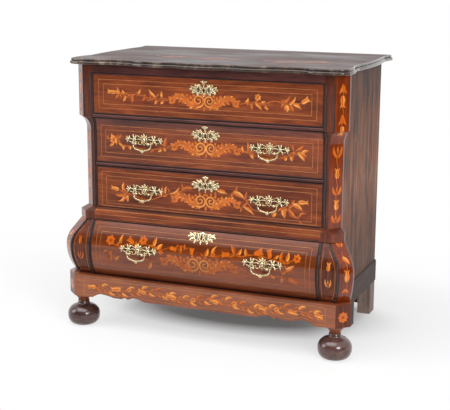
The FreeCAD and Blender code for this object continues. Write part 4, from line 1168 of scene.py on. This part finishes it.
def top_marquetry():
    """Faded sprays on the top."""
    pile = Pile()
    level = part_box("top_board")[1][2]

    def at(across, up, proud):
        return Vector((across * MM, up * MM, level + proud * MM))
    for x, y, radius in TOP_SPRAYS:
        flower(pile, at, x, y, radius, 7, 0.4)
        for s in SIDES:
            leaf(pile, at, (x + s * radius * 0.6, y), (x + s * radius * 1.6, y - 30 * s), 12, 0.2)
    faded = [inlay("top_inlay_%d" % i, dark, light, 0.4, 0.1) for i, (dark, light) in enumerate(FADED)]
    pile.build("top_marquetry", "case", faded)


for number in DRAWERS:
    drawer_marquetry(number)
post_marquetry()
plinth_marquetry()
waist_marquetry()
top_marquetry()


# Floor, light and camera

def background_ray(tree):
    """1 for the rays that show the background: straight from the camera, by a mirror or through glass."""
    total = add(tree, "LightPath", "Is Camera Ray")
    for kind in ("Is Glossy Ray", "Is Transmission Ray"):
        total = add(tree, "Math", "Value", {0: total, 1: add(tree, "LightPath", kind)}, operation="MAXIMUM")
    return total


FLOOR_HALF = 9
UNDER_CHEST = (0, 0.13, 0)
SHADOW_REACH = (0.45, 0.23, 1)
FADE_SPAN = 6


def floor_material():
    """White paper: it keeps the rendered shadow inside a painted grey patch under the chest and fades into the
    white background away from it.
    """
    material = plain_material("floor_paper", grey(0.82), 0.9)
    tree = material.node_tree
    vector = add(tree, "NewGeometry", "Position")
    for operation, values in (("SUBTRACT", UNDER_CHEST), ("DIVIDE", [v * FADE_SPAN for v in SHADOW_REACH])):
        vector = add(tree, "VectorMath", "Vector", {0: vector, 1: values}, operation=operation)
    reach = add(tree, "VectorMath", "Value", {0: vector}, operation="LENGTH")
    # The grey patch under the chest is painted shadow; the rendered shadow shows only inside it.
    fade = ramp(tree, reach, ((0.13, grey(0.1)), (0.21, grey(0.62)), (0.5, grey(0.95)), (0.8, grey(1))))
    share = add(tree, "Math", "Value", {0: fade, 1: background_ray(tree)}, operation="MULTIPLY")
    paper = tree.nodes["Principled BSDF"].outputs["BSDF"]
    white = add(tree, "Emission", "Emission")
    both = add(tree, "MixShader", "Shader", {"Fac": share, 1: paper, 2: white})
    tree.links.new(both, tree.nodes["Material Output"].inputs["Surface"])
    return material


def floor():
    half = FLOOR_HALF
    corners = [(-half, -half, 0), (half, -half, 0), (half, half, 0), (-half, half, 0)]
    obj = add_object("floor", corners, [(0, 1, 2, 3)], [floor_material()])


DIM_CARDS = {
    "dim_wall": ((-6, -4.6, 0.3), (4, -4.6, 0.3), (4, -4.6, 4.2), (-6, -4.6, 4.2)),
    "dim_card": ((3.2, -3.2, 0), (3.2, 0.1, 0), (3.2, 0.1, 1.4), (3.2, -3.2, 1.4)),
}


def dim_cards():
    """The dark end of the studio behind the camera and to its right, which polished fronts mirror."""
    cloth = plain_material("dim_cloth", grey(0.03), 0.9)
    for name, corners in DIM_CARDS.items():
        obj = add_object(name, corners, [(0, 3, 2, 1)], [cloth])
        obj.visible_camera = False


def area_light(name, at, aim, size_x, size_y, power):
    light = bpy.data.lights.new(name, "AREA")
    light.shape = "RECTANGLE"
    light.size = size_x
    light.size_y = size_y
    light.energy = power
    obj = bpy.data.objects.new(name, light)
    obj.location = at
    obj.rotation_euler = (Vector(aim) - Vector(at)).to_track_quat("-Z", "Y").to_euler()
    bpy.context.scene.collection.objects.link(obj)


def surroundings():
    """A white background, in mirrors too; as a lamp it is pale behind and to the sides, dim in front."""
    world = bpy.data.worlds.new("studio")
    bpy.context.scene.world = world
    world.use_nodes = True
    tree = world.node_tree
    behind = add(tree, "SeparateXYZ", "Y", {"Vector": add(tree, "TexCoord", "Generated")})
    span = add(tree, "MapRange", "Result", {"Value": behind, "From Min": -1})
    tint = ramp(tree, span, ((0, grey(0.05)), (0.4, grey(0.14)), (0.7, grey(0.7)), (1, grey(1))))
    picked = mixed(tree, "MIX", background_ray(tree), tint, grey(1))
    tree.links.new(picked, tree.nodes["Background"].inputs["Color"])


YAW, PITCH, ROLL = radians(21.92), radians(12.58), radians(0.285)
CAMERA_AT = (1.3245, -3.35025, 1.1948)
SENSOR_WIDTH, LENS = 36, 89.16


def camera():
    forward = Vector((-sin(YAW) * cos(PITCH), cos(YAW) * cos(PITCH), -sin(PITCH)))
    right = Vector((cos(YAW), sin(YAW), 0))
    up = right.cross(forward)
    tilted = right * cos(ROLL) + up * sin(ROLL)
    upright = up * cos(ROLL) - right * sin(ROLL)
    turn = Matrix((tilted, upright, -forward)).transposed().to_4x4()
    data = bpy.data.cameras.new("camera")
    data.sensor_fit = "HORIZONTAL"
    data.sensor_width = SENSOR_WIDTH
    data.lens = LENS
    obj = bpy.data.objects.new("camera", data)
    obj.matrix_world = Matrix.Translation(CAMERA_AT) @ turn
    bpy.context.scene.collection.objects.link(obj)
    bpy.context.scene.camera = obj


floor()
dim_cards()
surroundings()
area_light("overhead_softbox", (-0.5, -1.4, 2.9), (-0.5, -1.4, 0), 3.2, 2.2, 80)
area_light("right_softbox", (2.6, -2.6, 1.9), (0, -0.2, 0.4), 1.4, 1.4, 80)
area_light("left_softbox", (-3.2, -1.6, 1.7), (0, -0.2, 0.4), 1.2, 1.6, 30)
camera()
bpy.context.scene.view_settings.view_transform = "Standard"
